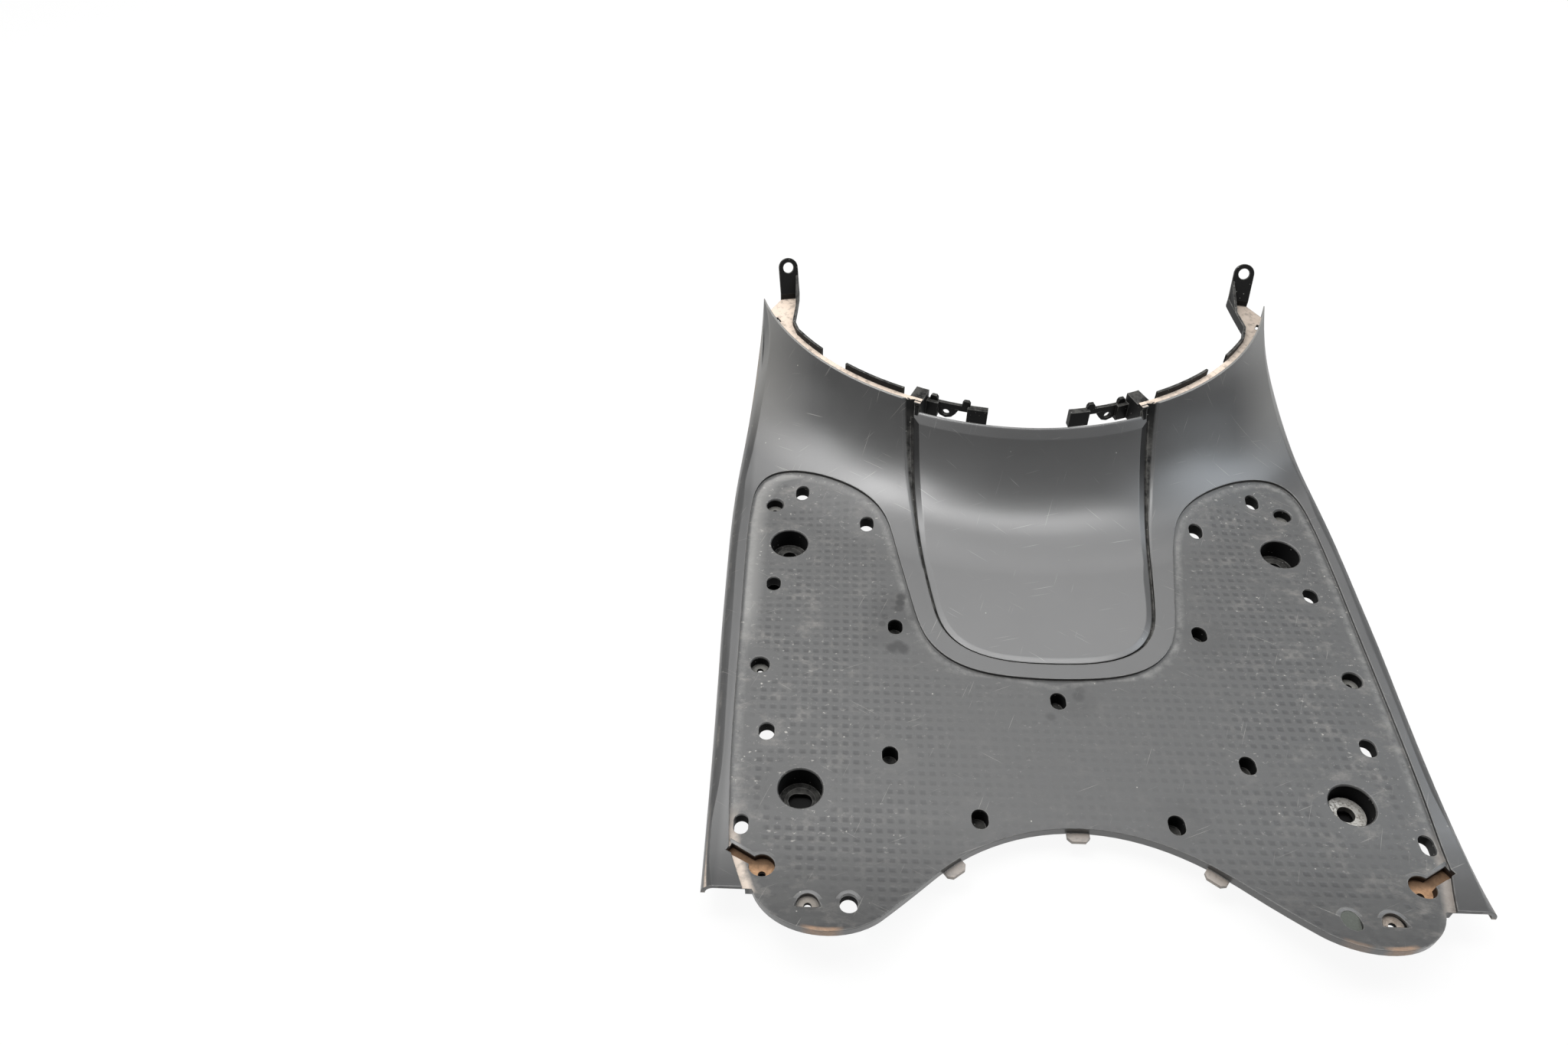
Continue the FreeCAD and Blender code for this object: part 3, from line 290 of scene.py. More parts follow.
# studio floor: half its side in metres, how much of it the camera sees as plain white, and the painted shade
# under the pockets, which takes all of that white away where a spot has this strength
FLOOR_HALF = 5.0
FLOOR_GLOW = 0.92
FLOOR_SHADE_FULL = 0.7
FLOOR_SHADE_COLOUR = "#202020"
# strength of the even light from all sides
WORLD_LIGHT = 0.27
# camera: width of its sensor in millimetres and the nearest distance that it shows in metres
SENSOR_WIDTH = 36.0
NEAREST_VIEW = 0.01
WHITE = (1.0, 1.0, 1.0)
BLUISH = (0.86, 0.93, 1.0)
LAMP_TARGET = (0.0, 0.0, 0.03)
# soft boxes: place, width and height in metres, share of the lamp power, colour
LAMPS = [
    ("front_soft_box", (0.0, 1.3, 1.75), 2.4, 0.9, 0.76, WHITE),
    ("overhead_strip", (0.0, 0.03, 1.75), 1.8, 0.36, 0.66, WHITE),
    ("overhead_front_strip", (0.1, 0.60, 1.75), 2.4, 0.45, 0.36, WHITE),
    ("upper_left_strip", (-0.60, 0.0, 1.7), 0.9, 0.35, 0.36, WHITE),
    ("upper_left_soft_box", (-1.15, 0.30, 1.6), 0.9, 0.6, 0.50, WHITE),
    ("right_soft_box", (1.35, 0.28, 1.3), 1.0, 0.5, 0.38, BLUISH),
    ("low_right_soft_box", (1.8, -0.15, 0.75), 0.9, 0.5, 0.05, BLUISH),
    ("left_soft_box", (-1.7, 0.2, 0.9), 0.9, 0.5, 0.07, WHITE),
]


def hex_colour(text):
    """Linear colour from an sRGB hex value."""
    parts = [int(text[i:i + 2], 16) / 255 for i in (1, 3, 5)]
    linear = [c / 12.92 if c <= 0.04045 else ((c + 0.055) / 1.055) ** 2.4 for c in parts]
    return (*linear, 1.0)


def add(tree, kind, links, **settings):
    """Adds a node with its settings; links gives each socket a value or another node's output."""
    node = tree.nodes.new(kind)
    for name, value in settings.items():
        setattr(node, name, value)
    for key, value in links.items():
        if isinstance(value, bpy.types.NodeSocket):
            tree.links.new(value, node.inputs[key])
        else:
            node.inputs[key].default_value = value
    return node.outputs[0]


def new_material(name):
    """An empty node material and its tree."""
    material = bpy.data.materials.new(name)
    material.use_nodes = True
    material.node_tree.nodes.clear()
    return material, material.node_tree


def close_material(tree, coat, normal, more):
    """Joins the coat, the normal and what more gives by socket to one Principled shader."""
    links = {"Base Color": coat[0], "Roughness": coat[1], "Normal": normal, **more}
    shader = add(tree, "ShaderNodeBsdfPrincipled", links)
    tree.links.new(shader, tree.nodes.new("ShaderNodeOutputMaterial").inputs["Surface"])


def where_all(tree, *masks):
    """Where all of the masks hold: their product."""
    total = masks[0]
    for mask in masks[1:]:
        total = add(tree, "ShaderNodeMath", {0: total, 1: mask}, operation="MULTIPLY")
    return total


def where_any(tree, *masks):
    """Where any of the masks holds: the largest."""
    total = masks[0]
    for mask in masks[1:]:
        total = add(tree, "ShaderNodeMath", {0: total, 1: mask}, operation="MAXIMUM")
    return total


def lay(tree, coat, layer, *masks):
    """The coat so far, a colour and a roughness, with a layer laid over it where all of the masks hold."""
    colour, roughness, strength = layer
    if isinstance(colour, str):
        colour = hex_colour(colour)
    if strength < 1.0:
        masks = (*masks, strength)
    factor = where_all(tree, *masks)
    shade = add(tree, "ShaderNodeMix", {0: factor, 6: coat[0], 7: tuple(colour)}, data_type="RGBA").node
    gloss = add(tree, "ShaderNodeMix", {0: factor, 2: coat[1], 3: roughness})
    return shade.outputs[2], gloss


def surface_measures(tree):
    """What a finish reads: millimetres from the middle peg hole, depth under the border, and facing."""
    here = tree.nodes.new("ShaderNodeTexCoord").outputs["Object"]
    place = add(tree, "ShaderNodeVectorMath", {0: here, 1: PEG_ORIGIN}, operation="SUBTRACT")
    place = add(tree, "ShaderNodeVectorMath", {0: place, "Scale": 1 / MM}, operation="SCALE")
    x, y, z = add(tree, "ShaderNodeSeparateXYZ", {0: place}).node.outputs
    side = add(tree, "ShaderNodeMath", {0: x}, operation="ABSOLUTE")
    from_axis = add(tree, "ShaderNodeVectorMath", {0: place, 1: (0, SHIELD_Y, 0)}, operation="SUBTRACT")
    from_axis = add(tree, "ShaderNodeVectorMath", {0: from_axis, 1: (1, 1, 0)}, operation="MULTIPLY")
    ring = add(tree, "ShaderNodeVectorMath", {0: from_axis}, operation="LENGTH").node.outputs["Value"]

    # the border face rises along a circle in the cove and along another in the kicked-up rear
    up_cove = add(tree, "ShaderNodeMath", {0: COVE_BASE_R, 1: ring}, operation="SUBTRACT")
    up_cove = add(tree, "ShaderNodeClamp", {0: up_cove, 1: 0.0, 2: COVE_END})
    up_rear = add(tree, "ShaderNodeMath", {0: KICK_Y, 1: y}, operation="SUBTRACT")
    up_rear = add(tree, "ShaderNodeMath", {0: up_rear, 1: 0.0}, operation="MAXIMUM")
    top = BORDER_RISE
    lean = 1.0
    for run, radius in ((up_cove, COVE_R), (up_rear, KICK_R)):
        square = add(tree, "ShaderNodeMath", {0: run, 1: run}, operation="MULTIPLY")
        square = add(tree, "ShaderNodeMath", {0: radius * radius, 1: square}, operation="SUBTRACT")
        root = add(tree, "ShaderNodeMath", {0: square}, operation="SQRT")
        rise = add(tree, "ShaderNodeMath", {0: radius, 1: root}, operation="SUBTRACT")
        top = add(tree, "ShaderNodeMath", {0: top, 1: rise}, operation="ADD")
        slope = add(tree, "ShaderNodeMath", {0: root, 1: radius}, operation="DIVIDE")
        lean = add(tree, "ShaderNodeMath", {0: lean, 1: slope}, operation="MULTIPLY")
    depth = add(tree, "ShaderNodeMath", {0: top, 1: z}, operation="SUBTRACT")
    depth = add(tree, "ShaderNodeMath", {0: depth, 1: lean}, operation="MULTIPLY")

    facing = tree.nodes.new("ShaderNodeNewGeometry").outputs["Normal"]
    across, _, up = add(tree, "ShaderNodeSeparateXYZ", {0: facing}).node.outputs
    return {"place": place, "x": x, "y": y, "z": z, "side": side, "ring": ring, "depth": depth,
            "across": across, "up": up}


def edge_distance(tree, side, along, points):
    """Millimetres from an outline, outward, given as half widths at a few places along Y."""
    start, end = CURVE_SPAN
    places = [((y - start) / (end - start), half / CURVE_WIDTH) for y, half in points]
    widths = []
    for ahead in (0.0, SLOPE_RUN):
        scaled = add(tree, "ShaderNodeMapRange", {0: along, 1: start - ahead, 2: end - ahead})
        curve = add(tree, "ShaderNodeFloatCurve", {"Value": scaled}).node
        line = curve.mapping.curves[0]
        curve.mapping.use_clip = False
        while len(line.points) < len(places):
            line.points.new(0.5, 0.5)
        for point, place in zip(line.points, places):
            point.location = place
            point.handle_type = "VECTOR"
        curve.mapping.update()
        width = add(tree, "ShaderNodeMath", {0: curve.outputs[0], 1: CURVE_WIDTH}, operation="MULTIPLY")
        widths.append(width)
    gap = add(tree, "ShaderNodeMath", {0: side, 1: widths[0]}, operation="SUBTRACT")
    # the gap across the board becomes the one square to the outline
    slope = add(tree, "ShaderNodeMath", {0: widths[1], 1: widths[0]}, operation="SUBTRACT")
    slope = add(tree, "ShaderNodeMath", {0: slope, 1: 1 / SLOPE_RUN}, operation="MULTIPLY")
    slope = add(tree, "ShaderNodeClamp", {0: slope, 1: -STEEPEST, 2: STEEPEST})
    slant = add(tree, "ShaderNodeMath", {0: slope, 1: slope, 2: 1.0}, operation="MULTIPLY_ADD")
    slant = add(tree, "ShaderNodeMath", {0: slant}, operation="SQRT")
    return add(tree, "ShaderNodeMath", {0: gap, 1: slant}, operation="DIVIDE")


def board_measures(tree):
    """The surface measures, with distances from the outlines and round shapes of the board's floor."""
    at = surface_measures(tree)
    at["flat"] = add(tree, "ShaderNodeCombineXYZ", {0: at["side"], 1: at["y"], 2: 0.0})
    at["from_tongue"] = edge_distance(tree, at["side"], at["y"], TONGUE_EDGE)
    past_side = edge_distance(tree, at["side"], at["y"], MAT_EDGE)
    at["from_side"] = add(tree, "ShaderNodeMath", {0: past_side, 1: -1.0}, operation="MULTIPLY")
    at["from_step"] = add(tree, "ShaderNodeMath", {0: at["from_tongue"], 1: at["from_side"]},
                          operation="MINIMUM")
    for name, centre in (("from_lobe", LOBE), ("from_rear_arc", REAR_ARC)):
        gap = add(tree, "ShaderNodeVectorMath", {0: at["flat"], 1: (*centre, 0)}, operation="DISTANCE").node
        at[name] = gap.outputs["Value"]
    at["scuff_place"] = add(tree, "ShaderNodeMapping", {"Vector": at["place"], "Scale": SCUFF_SQUEEZE})
    return at


def mark_places(tree, at, noises, ramps):
    """Adds to the measures the patterns and the places that the tables of noises and ramps give."""
    for name, (measure, size, detail, rough) in noises.items():
        at[name] = add(tree, "ShaderNodeTexNoise",
                       {"Vector": at[measure], "Scale": 1 / size, "Detail": detail, "Roughness": rough})
    for name, (measure, start, end, *given) in ramps.items():
        at_start, at_end = given or (0.0, 1.0)
        at[name] = add(tree, "ShaderNodeMapRange",
                       {0: at[measure], 1: start, 2: end, 3: at_start, 4: at_end})


def near_places(tree, place, spots):
    """Soft spots round places in plan: each has its full strength in the middle and none past its reach."""
    flat = add(tree, "ShaderNodeVectorMath", {0: place, 1: (1, 1, 0)}, operation="MULTIPLY")
    found = []
    for x, y, reach, strength in spots:
        gap = add(tree, "ShaderNodeVectorMath", {0: flat, 1: (x, y, 0)}, operation="DISTANCE").node
        found.append(add(tree, "ShaderNodeMapRange",
                         {0: gap.outputs["Value"], 1: reach, 2: reach * SPOT_CORE, 3: 0.0, 4: strength}))
    return where_any(tree, *found)


def scratches(tree, place, turns):
    """Fine short scratches in a few directions: a stretched noise, kept only where it peaks."""
    start, full = SCRATCH_PEAK
    found = []
    for turn in turns:
        laid = add(tree, "ShaderNodeMapping",
                   {"Vector": place, "Rotation": (0, 0, math.radians(turn)),
                    "Scale": (SCRATCH_LENGTH, SCRATCH_SPACING, SCRATCH_LENGTH)}, vector_type="TEXTURE")
        streak = add(tree, "ShaderNodeTexNoise", {"Vector": laid, "Scale": 1.0, "Detail": 1.0})
        found.append(add(tree, "ShaderNodeMapRange", {0: streak, 1: start, 2: full}))
    return where_any(tree, *found)


def chips(tree, place, spacing, radius):
    """Scattered small chips: one in some of the cells of the given spacing."""
    cells = add(tree, "ShaderNodeTexVoronoi", {"Vector": place, "Scale": 1 / spacing}).node
    edge = radius / spacing
    spot = add(tree, "ShaderNodeMapRange", {0: cells.outputs["Distance"], 1: edge, 2: CHIP_CORE * edge})
    chosen = add(tree, "ShaderNodeSeparateColor", {0: cells.outputs["Color"]})
    chosen = add(tree, "ShaderNodeMath", {0: chosen, 1: EMPTY_CELLS}, operation="GREATER_THAN")
    return where_all(tree, spot, chosen)


def worn_edges(tree, reach):
    """Where the surface turns sharply within reach, as on rims and corners, and the rounded normal."""
    start, full = EDGE_TURN
    rounded = add(tree, "ShaderNodeBevel", {"Radius": reach * MM}, samples=EDGE_SAMPLES)
    plain = tree.nodes.new("ShaderNodeNewGeometry").outputs["Normal"]
    turned = add(tree, "ShaderNodeVectorMath", {0: rounded, 1: plain}, operation="DOT_PRODUCT").node
    return add(tree, "ShaderNodeMapRange", {0: turned.outputs["Value"], 1: start, 2: full}), rounded


def grey_faces(tree, at, coat):
    """Cloudy greying in 60 mm patches, a mottle of 7 mm on the mat floor, and the ends of the wings paler
    high on the cove.
    """
    coat = lay(tree, coat, GREYED, at["cloud"])
    coat = lay(tree, coat, MAT_FLOOR, at["floor"])
    coat = lay(tree, coat, MAT_MOTTLE, at["floor"], at["mottle"])
    return lay(tree, coat, WING_ENDS_PALER, at["wing_ends"], at["low_cove"])


def press_lattice(tree, at, coat, pitch):
    """Soft dark hollows every few millimetres, worn away in the middle and absent round the holes."""
    hollow = at["floor"]
    for measure, start, full in LATTICE:
        wave = add(tree, "ShaderNodeMath", {0: at[measure], 1: pitch / 2}, operation="PINGPONG")
        wave = add(tree, "ShaderNodeMapRange", {0: wave, 1: start, 2: full}, interpolation_type="SMOOTHSTEP")
        hollow = where_all(tree, hollow, wave)
    shown = at["off_step"]
    inside, outside = RING_FADE
    for x, y, radius in SMOOTH_RINGS:
        gap = add(tree, "ShaderNodeVectorMath", {0: at["flat"], 1: (x, y, 0)}, operation="DISTANCE").node
        clear = add(tree, "ShaderNodeMapRange",
                    {0: gap.outputs["Value"], 1: radius - inside, 2: radius + outside})
        shown = where_all(tree, shown, clear)
    at["hollow"] = where_all(tree, hollow, shown, at["lattice_kept"], at["patch"])
    return lay(tree, coat, HOLLOW, at["hollow"])


def scuff_floor(tree, at, coat, wear):
    """Pale scuffs and smudges on the ridges of the lattice, then scratches and chips on every open face."""
    ridge = add(tree, "ShaderNodeMath", {0: at["floor"], 1: at["hollow"]}, operation="SUBTRACT")
    scuffed = where_all(tree, at["scuff"], ridge, at["scuff_area"], at["trodden"], at["off_lobes"], wear)
    coat = lay(tree, coat, SMUDGE, at["smudge"], ridge, at["smudged"], wear)
    turns, strength = BOARD_SCRATCHES
    streaks = where_all(tree, scratches(tree, at["place"], turns), strength * wear)
    chipped = where_any(tree, chips(tree, at["place"], *FINE_CHIPS), chips(tree, at["place"], *COARSE_CHIPS))
    chipped = where_all(tree, chipped, CHIP_STRENGTH * wear)
    pale = where_any(tree, scuffed, streaks, chipped)
    return lay(tree, coat, SCUFF, pale, at["open_face"])


def rub_and_highlight_bands(tree, at, coat):
    """A pale band inside the step, rubbed and partly a painted highlight of its rounded shoulder, stronger
    along the left leg.
    """
    coat = lay(tree, coat, RUBBED_BAND_AND_HIGHLIGHT, at["band_start"], at["band_end"], at["floor"], at["mottle"])
    return lay(tree, coat, RUBBED_LEG, at["band_start"], at["leg_band_end"], at["floor"], at["left_leg"],
               at["front_leg"])


def paint_shade_in_depths(tree, at, coat, wear):
    """Painted shade: black where it lies deep, faces down or stands behind the far edge, dark on the step's
    walls, and grey on the pockets' seats.
    """
    in_lobe = where_any(tree, at["inside_lobe"], at["ahead_of_lobes"])
    pockets = where_all(tree, at["in_pockets"], at["not_roll"], in_lobe, at["inside_rear"])
    slit = where_all(tree, at["in_slit"], at["by_cover"], at["in_tongue"])
    at["deep"] = where_any(tree, pockets, at["facing_down"], at["behind_shield"], slit)
    coat = lay(tree, coat, DEEP_PAINTED_SHADE, at["deep"])
    coat = lay(tree, coat, WALL_PAINTED_SHADE, at["steep"], at["down_wall"], at["not_roll"], at["at_step"])
    seat = where_all(tree, at["deep"], at["level"])
    coat = lay(tree, coat, SEAT_GREY, seat, at["mottle"])
    coat = lay(tree, coat, SHALLOW_GREY, near_places(tree, at["flat"], SHALLOW_SEATS), seat)
    return lay(tree, coat, DEEP_SPECK, at["deep"], chips(tree, at["place"], *DEEP_SPECKS), wear)


def wear_and_highlight_rims(tree, at, coat, edge, wear):
    """Rims and corners rubbed pale with a painted highlight, and the far edge's bevel worn and painted
    lighter as the highlight it catches.
    """
    coat = lay(tree, coat, WORN_RIM_AND_HIGHLIGHT, edge, at["rub"], wear)
    return lay(tree, coat, WORN_BEVEL_AND_HIGHLIGHT, at["shield_edge"], at["shield_bevel"], at["level"])


def stain_floor(tree, at, coat):
    """Dark stains and drips, and a brown line along the foot of the turned-down edge, part dirt and part
    painted light from the pale floor.
    """
    stain = where_all(tree, near_places(tree, at["place"], STAINS), at["floor"], at["cloud"])
    drip = where_all(tree, near_places(tree, at["place"], DRIPS), at["floor"], DRIP_STRENGTH)
    at["stain"] = where_any(tree, stain, drip)
    coat = lay(tree, coat, STAIN, at["stain"])
    return lay(tree, coat, BROWN_FOOT_AND_PAINTED_LIGHT, at["foot_of_edge"], at["past_roll"], at["mottle"])


def dust_ledges(tree, at, coat, settings):
    """Pale dust on the shelf behind the far edge, in the rear corners of the step and on the rear clips."""
    shelf = where_all(tree, at["shelf_bottom"], at["shelf_top"], at["flat_shelf"], at["on_shelf"])
    corner = where_all(tree, at["rear_corner"], at["corner_end"], at["corner_band"], at["floor"],
                       at["corner_dust"])
    clips = where_all(tree, near_places(tree, at["flat"], CLIPS), at["under_clips"], at["past_rear"])
    dust = where_any(tree, shelf, corner, clips)
    layer = (settings.dust_colour, DUST_ROUGHNESS, 1.0)
    return lay(tree, coat, layer, dust, at["bits"], at["thin_dust"], settings.wear)


def cake_mud(tree, at, coat, settings):
    """Dried mud in the keyhole pockets with painted shade on the far half of their seats, mud on the lobe
    rims, and dirt that fills one screw pocket.
    """
    keyhole = near_places(tree, at["place"], KEYHOLES)
    keyhole = add(tree, "ShaderNodeMapRange", {0: keyhole, 1: 0.0, 2: KEYHOLE_FULL})
    keyhole = where_all(tree, keyhole, at["in_keyholes"])
    coat = lay(tree, coat, DARK_MUD_AND_SHADE, keyhole)
    streak = where_all(tree, near_places(tree, at["place"], LOBE_STREAKS), at["lobe_rim"])
    mud = where_any(tree, where_all(tree, keyhole, at["level"], at["keyhole_rear"]), streak)
    coat = lay(tree, coat, (settings.mud_colour, MUD_ROUGHNESS, 1.0), mud, at["solid"])
    fill = where_all(tree, near_places(tree, at["place"], DIRT_FILL), at["deep"], at["level"])
    coat = lay(tree, coat, PALE_DIRT, fill)
    at["heap"] = where_all(tree, at["grit"], where_any(tree, fill, mud))
    return lay(tree, coat, BROWN_DIRT, fill, at["grit"])


def board_material(settings):
    """Moulded black polypropylene, greyed by use where feet and weather reach it, with painted shade where it
    is deep and painted highlights on its rims.
    """
    material, tree = new_material("polypropylene_moulded_black")
    at = board_measures(tree)
    mark_places(tree, at, {**PLASTIC_NOISES, **BOARD_NOISES}, BOARD_RAMPS)
    at["floor"] = where_all(tree, at["in_mat"], at["above_pockets"], at["level"])
    edge, rounded = worn_edges(tree, BOARD_EDGE)

    coat = grey_faces(tree, at, (settings.board_colour, PLASTIC_ROUGHNESS))
    coat = press_lattice(tree, at, coat, settings.lattice_pitch / MM)
    coat = scuff_floor(tree, at, coat, settings.wear)
    coat = rub_and_highlight_bands(tree, at, coat)
    coat = paint_shade_in_depths(tree, at, coat, settings.wear)
    coat = wear_and_highlight_rims(tree, at, coat, edge, settings.wear)
    coat = stain_floor(tree, at, coat)
    coat = dust_ledges(tree, at, coat, settings)
    coat = cake_mud(tree, at, coat, settings)

    normal = rounded
    for pattern, strength, height, sunk in BOARD_BUMPS:
        normal = add(tree, "ShaderNodeBump", {"Height": at[pattern], "Strength": strength,
                                              "Distance": height * MM, "Normal": normal}, invert=sunk)
    # the black parts and the stains gleam less than the open faces, and so does the left side strip
    dull = where_any(tree, where_all(tree, at["stain"], STAIN_DULLS), at["deep"], at["left_strip"])
    gleam = add(tree, "ShaderNodeMapRange", {0: dull, 3: BOARD_GLEAM[0], 4: BOARD_GLEAM[1]})
    close_material(tree, coat, normal, {"Specular IOR Level": gleam})
    return material


def cover_material(settings):
    """Moulded black ABS, smoother and glossier than the board, scratched by shoes, with painted shade on its
    sides and painted highlights on its rims.
    """
    material, tree = new_material("abs_moulded_black")
    at = surface_measures(tree)
    at["sideways"] = add(tree, "ShaderNodeMath", {0: at["across"]}, operation="ABSOLUTE")
    mark_places(tree, at, PLASTIC_NOISES, COVER_RAMPS)
    coat = lay(tree, (settings.cover_colour, PLASTIC_ROUGHNESS), COVER_GREYED, at["cloud"])
    turns, strength = COVER_SCRATCHES
    streaks = where_all(tree, scratches(tree, at["place"], turns), strength * settings.wear)
    chipped = where_all(tree, chips(tree, at["place"], *FINE_CHIPS), CHIP_STRENGTH * settings.wear)
    coat = lay(tree, coat, COVER_SCUFF, where_any(tree, streaks, chipped))
    edge, rounded = worn_edges(tree, COVER_EDGE)
    coat = lay(tree, coat, COVER_RIM_AND_HIGHLIGHT, edge, settings.wear)
    # painted shade on the sides, the low rear end and the faces that look down
    low = where_all(tree, at["bent_down"], at["rear_end"])
    turned = where_any(tree, at["turned_side"], low, at["facing_down"])
    coat = lay(tree, coat, COVER_SIDE_SHADE, turned)
    strength, height = COVER_GRAIN
    normal = add(tree, "ShaderNodeBump",
                 {"Height": at["grain"], "Strength": strength, "Distance": height * MM, "Normal": rounded})
    gleam = add(tree, "ShaderNodeMapRange", {0: turned, 3: COVER_GLEAM[0], 4: COVER_GLEAM[1]})
    close_material(tree, coat, normal, {"Specular IOR Level": gleam})
    return material


def collar_material(settings):
    """Zinc plated steel, turned, dull light grey under road dust and grit."""
    material, tree = new_material("steel_zinc_plated_turned")
    at = surface_measures(tree)
    mark_places(tree, at, COLLAR_NOISES, COLLAR_RAMPS)
    coat = lay(tree, (settings.steel_colour, STEEL_ROUGHNESS), STEEL_GRIME, at["grime"])
    coat = lay(tree, coat, STEEL_GRIT, at["grit"], settings.wear)
    strength, height = COLLAR_GRIT
    normal = add(tree, "ShaderNodeBump",
                 {"Height": at["grit"], "Strength": strength, "Distance": height * MM})
    close_material(tree, coat, normal, {"Metallic": 1.0})
    return material


def stub_material(settings):
    """Moulded grey-green rubber, matt and torn at the top."""
    material, tree = new_material("rubber_moulded_torn")
    at = surface_measures(tree)
    mark_places(tree, at, STUB_NOISES, {})
    coat = lay(tree, (settings.rubber_colour, RUBBER_ROUGHNESS), RUBBER_TEAR, at["tears"])
    strength, height = STUB_TEARS
    normal = add(tree, "ShaderNodeBump",
                 {"Height": at["tears"], "Strength": strength, "Distance": height * MM})
    close_material(tree, coat, normal, {})
    return material


def dress(node, material):
    """Puts a material on a node of the frame."""
    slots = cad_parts[node].material_slots
    if not slots:
        raise RuntimeError("no material slot on " + node)
    for slot in slots:
        slot.material = material


def place_floor(scene, colour):
    """Pale paper floor that the camera sees nearly white, darkened with painted shade under the bolt pockets.
    """
    mesh = bpy.data.meshes.new("studio_floor")
    sheet = bmesh.new()
    bmesh.ops.create_grid(sheet, x_segments=1, y_segments=1, size=FLOOR_HALF)
    sheet.to_mesh(mesh)
    sheet.free()
    floor = bpy.data.objects.new("studio_floor", mesh)
    scene.collection.objects.link(floor)

    material, tree = new_material("paper_backdrop_matt")
    shade = near_places(tree, surface_measures(tree)["place"], FLOOR_SHADE)
    lit = add(tree, "ShaderNodeMapRange", {0: shade, 1: 0.0, 2: FLOOR_SHADE_FULL, 3: FLOOR_GLOW, 4: 0.0})
    ray = tree.nodes.new("ShaderNodeLightPath").outputs
    seen = where_any(tree, ray["Is Camera Ray"], ray["Is Glossy Ray"], ray["Is Transmission Ray"])
    seen = where_all(tree, seen, lit)
    tint = add(tree, "ShaderNodeMix", {0: shade, 6: colour, 7: hex_colour(FLOOR_SHADE_COLOUR)},
               data_type="RGBA").node.outputs[2]
    matt = add(tree, "ShaderNodeBsdfDiffuse", {"Color": tint})
    glow = add(tree, "ShaderNodeEmission", {"Color": (*WHITE, 1.0), "Strength": 1.0})
    paper = add(tree, "ShaderNodeMixShader", {0: seen, 1: matt, 2: glow})
    tree.links.new(paper, tree.nodes.new("ShaderNodeOutputMaterial").inputs["Surface"])
    mesh.materials.append(material)


def light_world(scene):
    """Plain white background and a weak even light from all sides."""
    world = bpy.data.worlds.new("studio_world")
    world.use_nodes = True
    tree = world.node_tree
    tree.nodes.clear()
    ray = tree.nodes.new("ShaderNodeLightPath").outputs
    seen = where_any(tree, ray["Is Camera Ray"], ray["Is Transmission Ray"])
    dim = add(tree, "ShaderNodeBackground", {"Color": (*WHITE, 1.0), "Strength": WORLD_LIGHT})
    backdrop = add(tree, "ShaderNodeBackground", {"Color": (*WHITE, 1.0), "Strength": 1.0})
    sky = add(tree, "ShaderNodeMixShader", {0: seen, 1: dim, 2: backdrop})
    tree.links.new(sky, tree.nodes.new("ShaderNodeOutputWorld").inputs["Surface"])
    scene.world = world


def place_lamps(scene, power):
    """Soft rectangular lamps that all point at the board."""
    for name, place, width, height, share, colour in LAMPS:
        lamp = bpy.data.lights.new(name, "AREA")
        lamp.shape = "RECTANGLE"
        lamp.size = width
        lamp.size_y = height
        lamp.energy = share * power
        lamp.color = colour
        holder = bpy.data.objects.new(name, lamp)
        aim = Vector(LAMP_TARGET) - Vector(place)
        holder.matrix_world = Matrix.Translation(place) @ aim.to_track_quat("-Z", "Y").to_matrix().to_4x4()
        scene.collection.objects.link(holder)


def place_camera(scene, studio):
    """Camera at the photograph's viewing angle, turned, tilted down and rolled by the studio's angles."""
    camera = bpy.data.cameras.new("photo_camera")
    camera.sensor_width = SENSOR_WIDTH
    camera.sensor_fit = "HORIZONTAL"
    camera.lens = studio.lens
    camera.clip_start = NEAREST_VIEW
    camera.dof.use_dof = False
    holder = bpy.data.objects.new("photo_camera", camera)
    turn, pitch, roll = studio.camera_turn, studio.camera_pitch, studio.camera_roll
    ahead = Vector((math.sin(turn) * math.cos(pitch), math.cos(turn) * math.cos(pitch), -math.sin(pitch)))
    right = Vector((math.cos(turn), -math.sin(turn), 0.0))
    above = right.cross(ahead)
    right_rolled = math.cos(roll) * right + math.sin(roll) * above
    above_rolled = -math.sin(roll) * right + math.cos(roll) * above
    axes = Matrix((right_rolled, above_rolled, -ahead)).transposed()
    holder.matrix_world = Matrix.Translation(studio.camera_place) @ axes.to_4x4()
    scene.collection.objects.link(holder)
    scene.camera = holder


class FloorboardFinish(bpy.types.PropertyGroup):
    """Finish of the board and its small parts."""
    wear: bpy.props.FloatProperty(
        name="Wear", description="How much the surfaces are scuffed and dusted",
        default=1.0, min=0.0, max=1.2)
    lattice_pitch: bpy.props.FloatProperty(
        name="Lattice pitch", description="Distance between the hollows of the mat floor's lattice",
        default=0.0065, min=0.002, subtype="DISTANCE", unit="LENGTH")
    board_colour: bpy.props.FloatVectorProperty(
        name="Board colour", description="Black plastic of the board",
        default=hex_colour("#3a3a3a"), size=4, subtype="COLOR")
    cover_colour: bpy.props.FloatVectorProperty(
        name="Cover colour", description="Black plastic of the centre cover",
        default=hex_colour("#434343"), size=4, subtype="COLOR")
    steel_colour: bpy.props.FloatVectorProperty(
        name="Steel colour", description="Plated steel of the collar",
        default=hex_colour("#b0afab"), size=4, subtype="COLOR")
    rubber_colour: bpy.props.FloatVectorProperty(
        name="Rubber colour", description="Rubber of the torn peg",
        default=hex_colour("#3f423d"), size=4, subtype="COLOR")
    dust_colour: bpy.props.FloatVectorProperty(
        name="Dust colour", description="Pale dust on the shelf and in the corners",
        default=hex_colour("#cdbdae"), size=4, subtype="COLOR")
    mud_colour: bpy.props.FloatVectorProperty(
        name="Mud colour", description="Dried mud in the keyhole pockets",
        default=hex_colour("#c39b78"), size=4, subtype="COLOR")


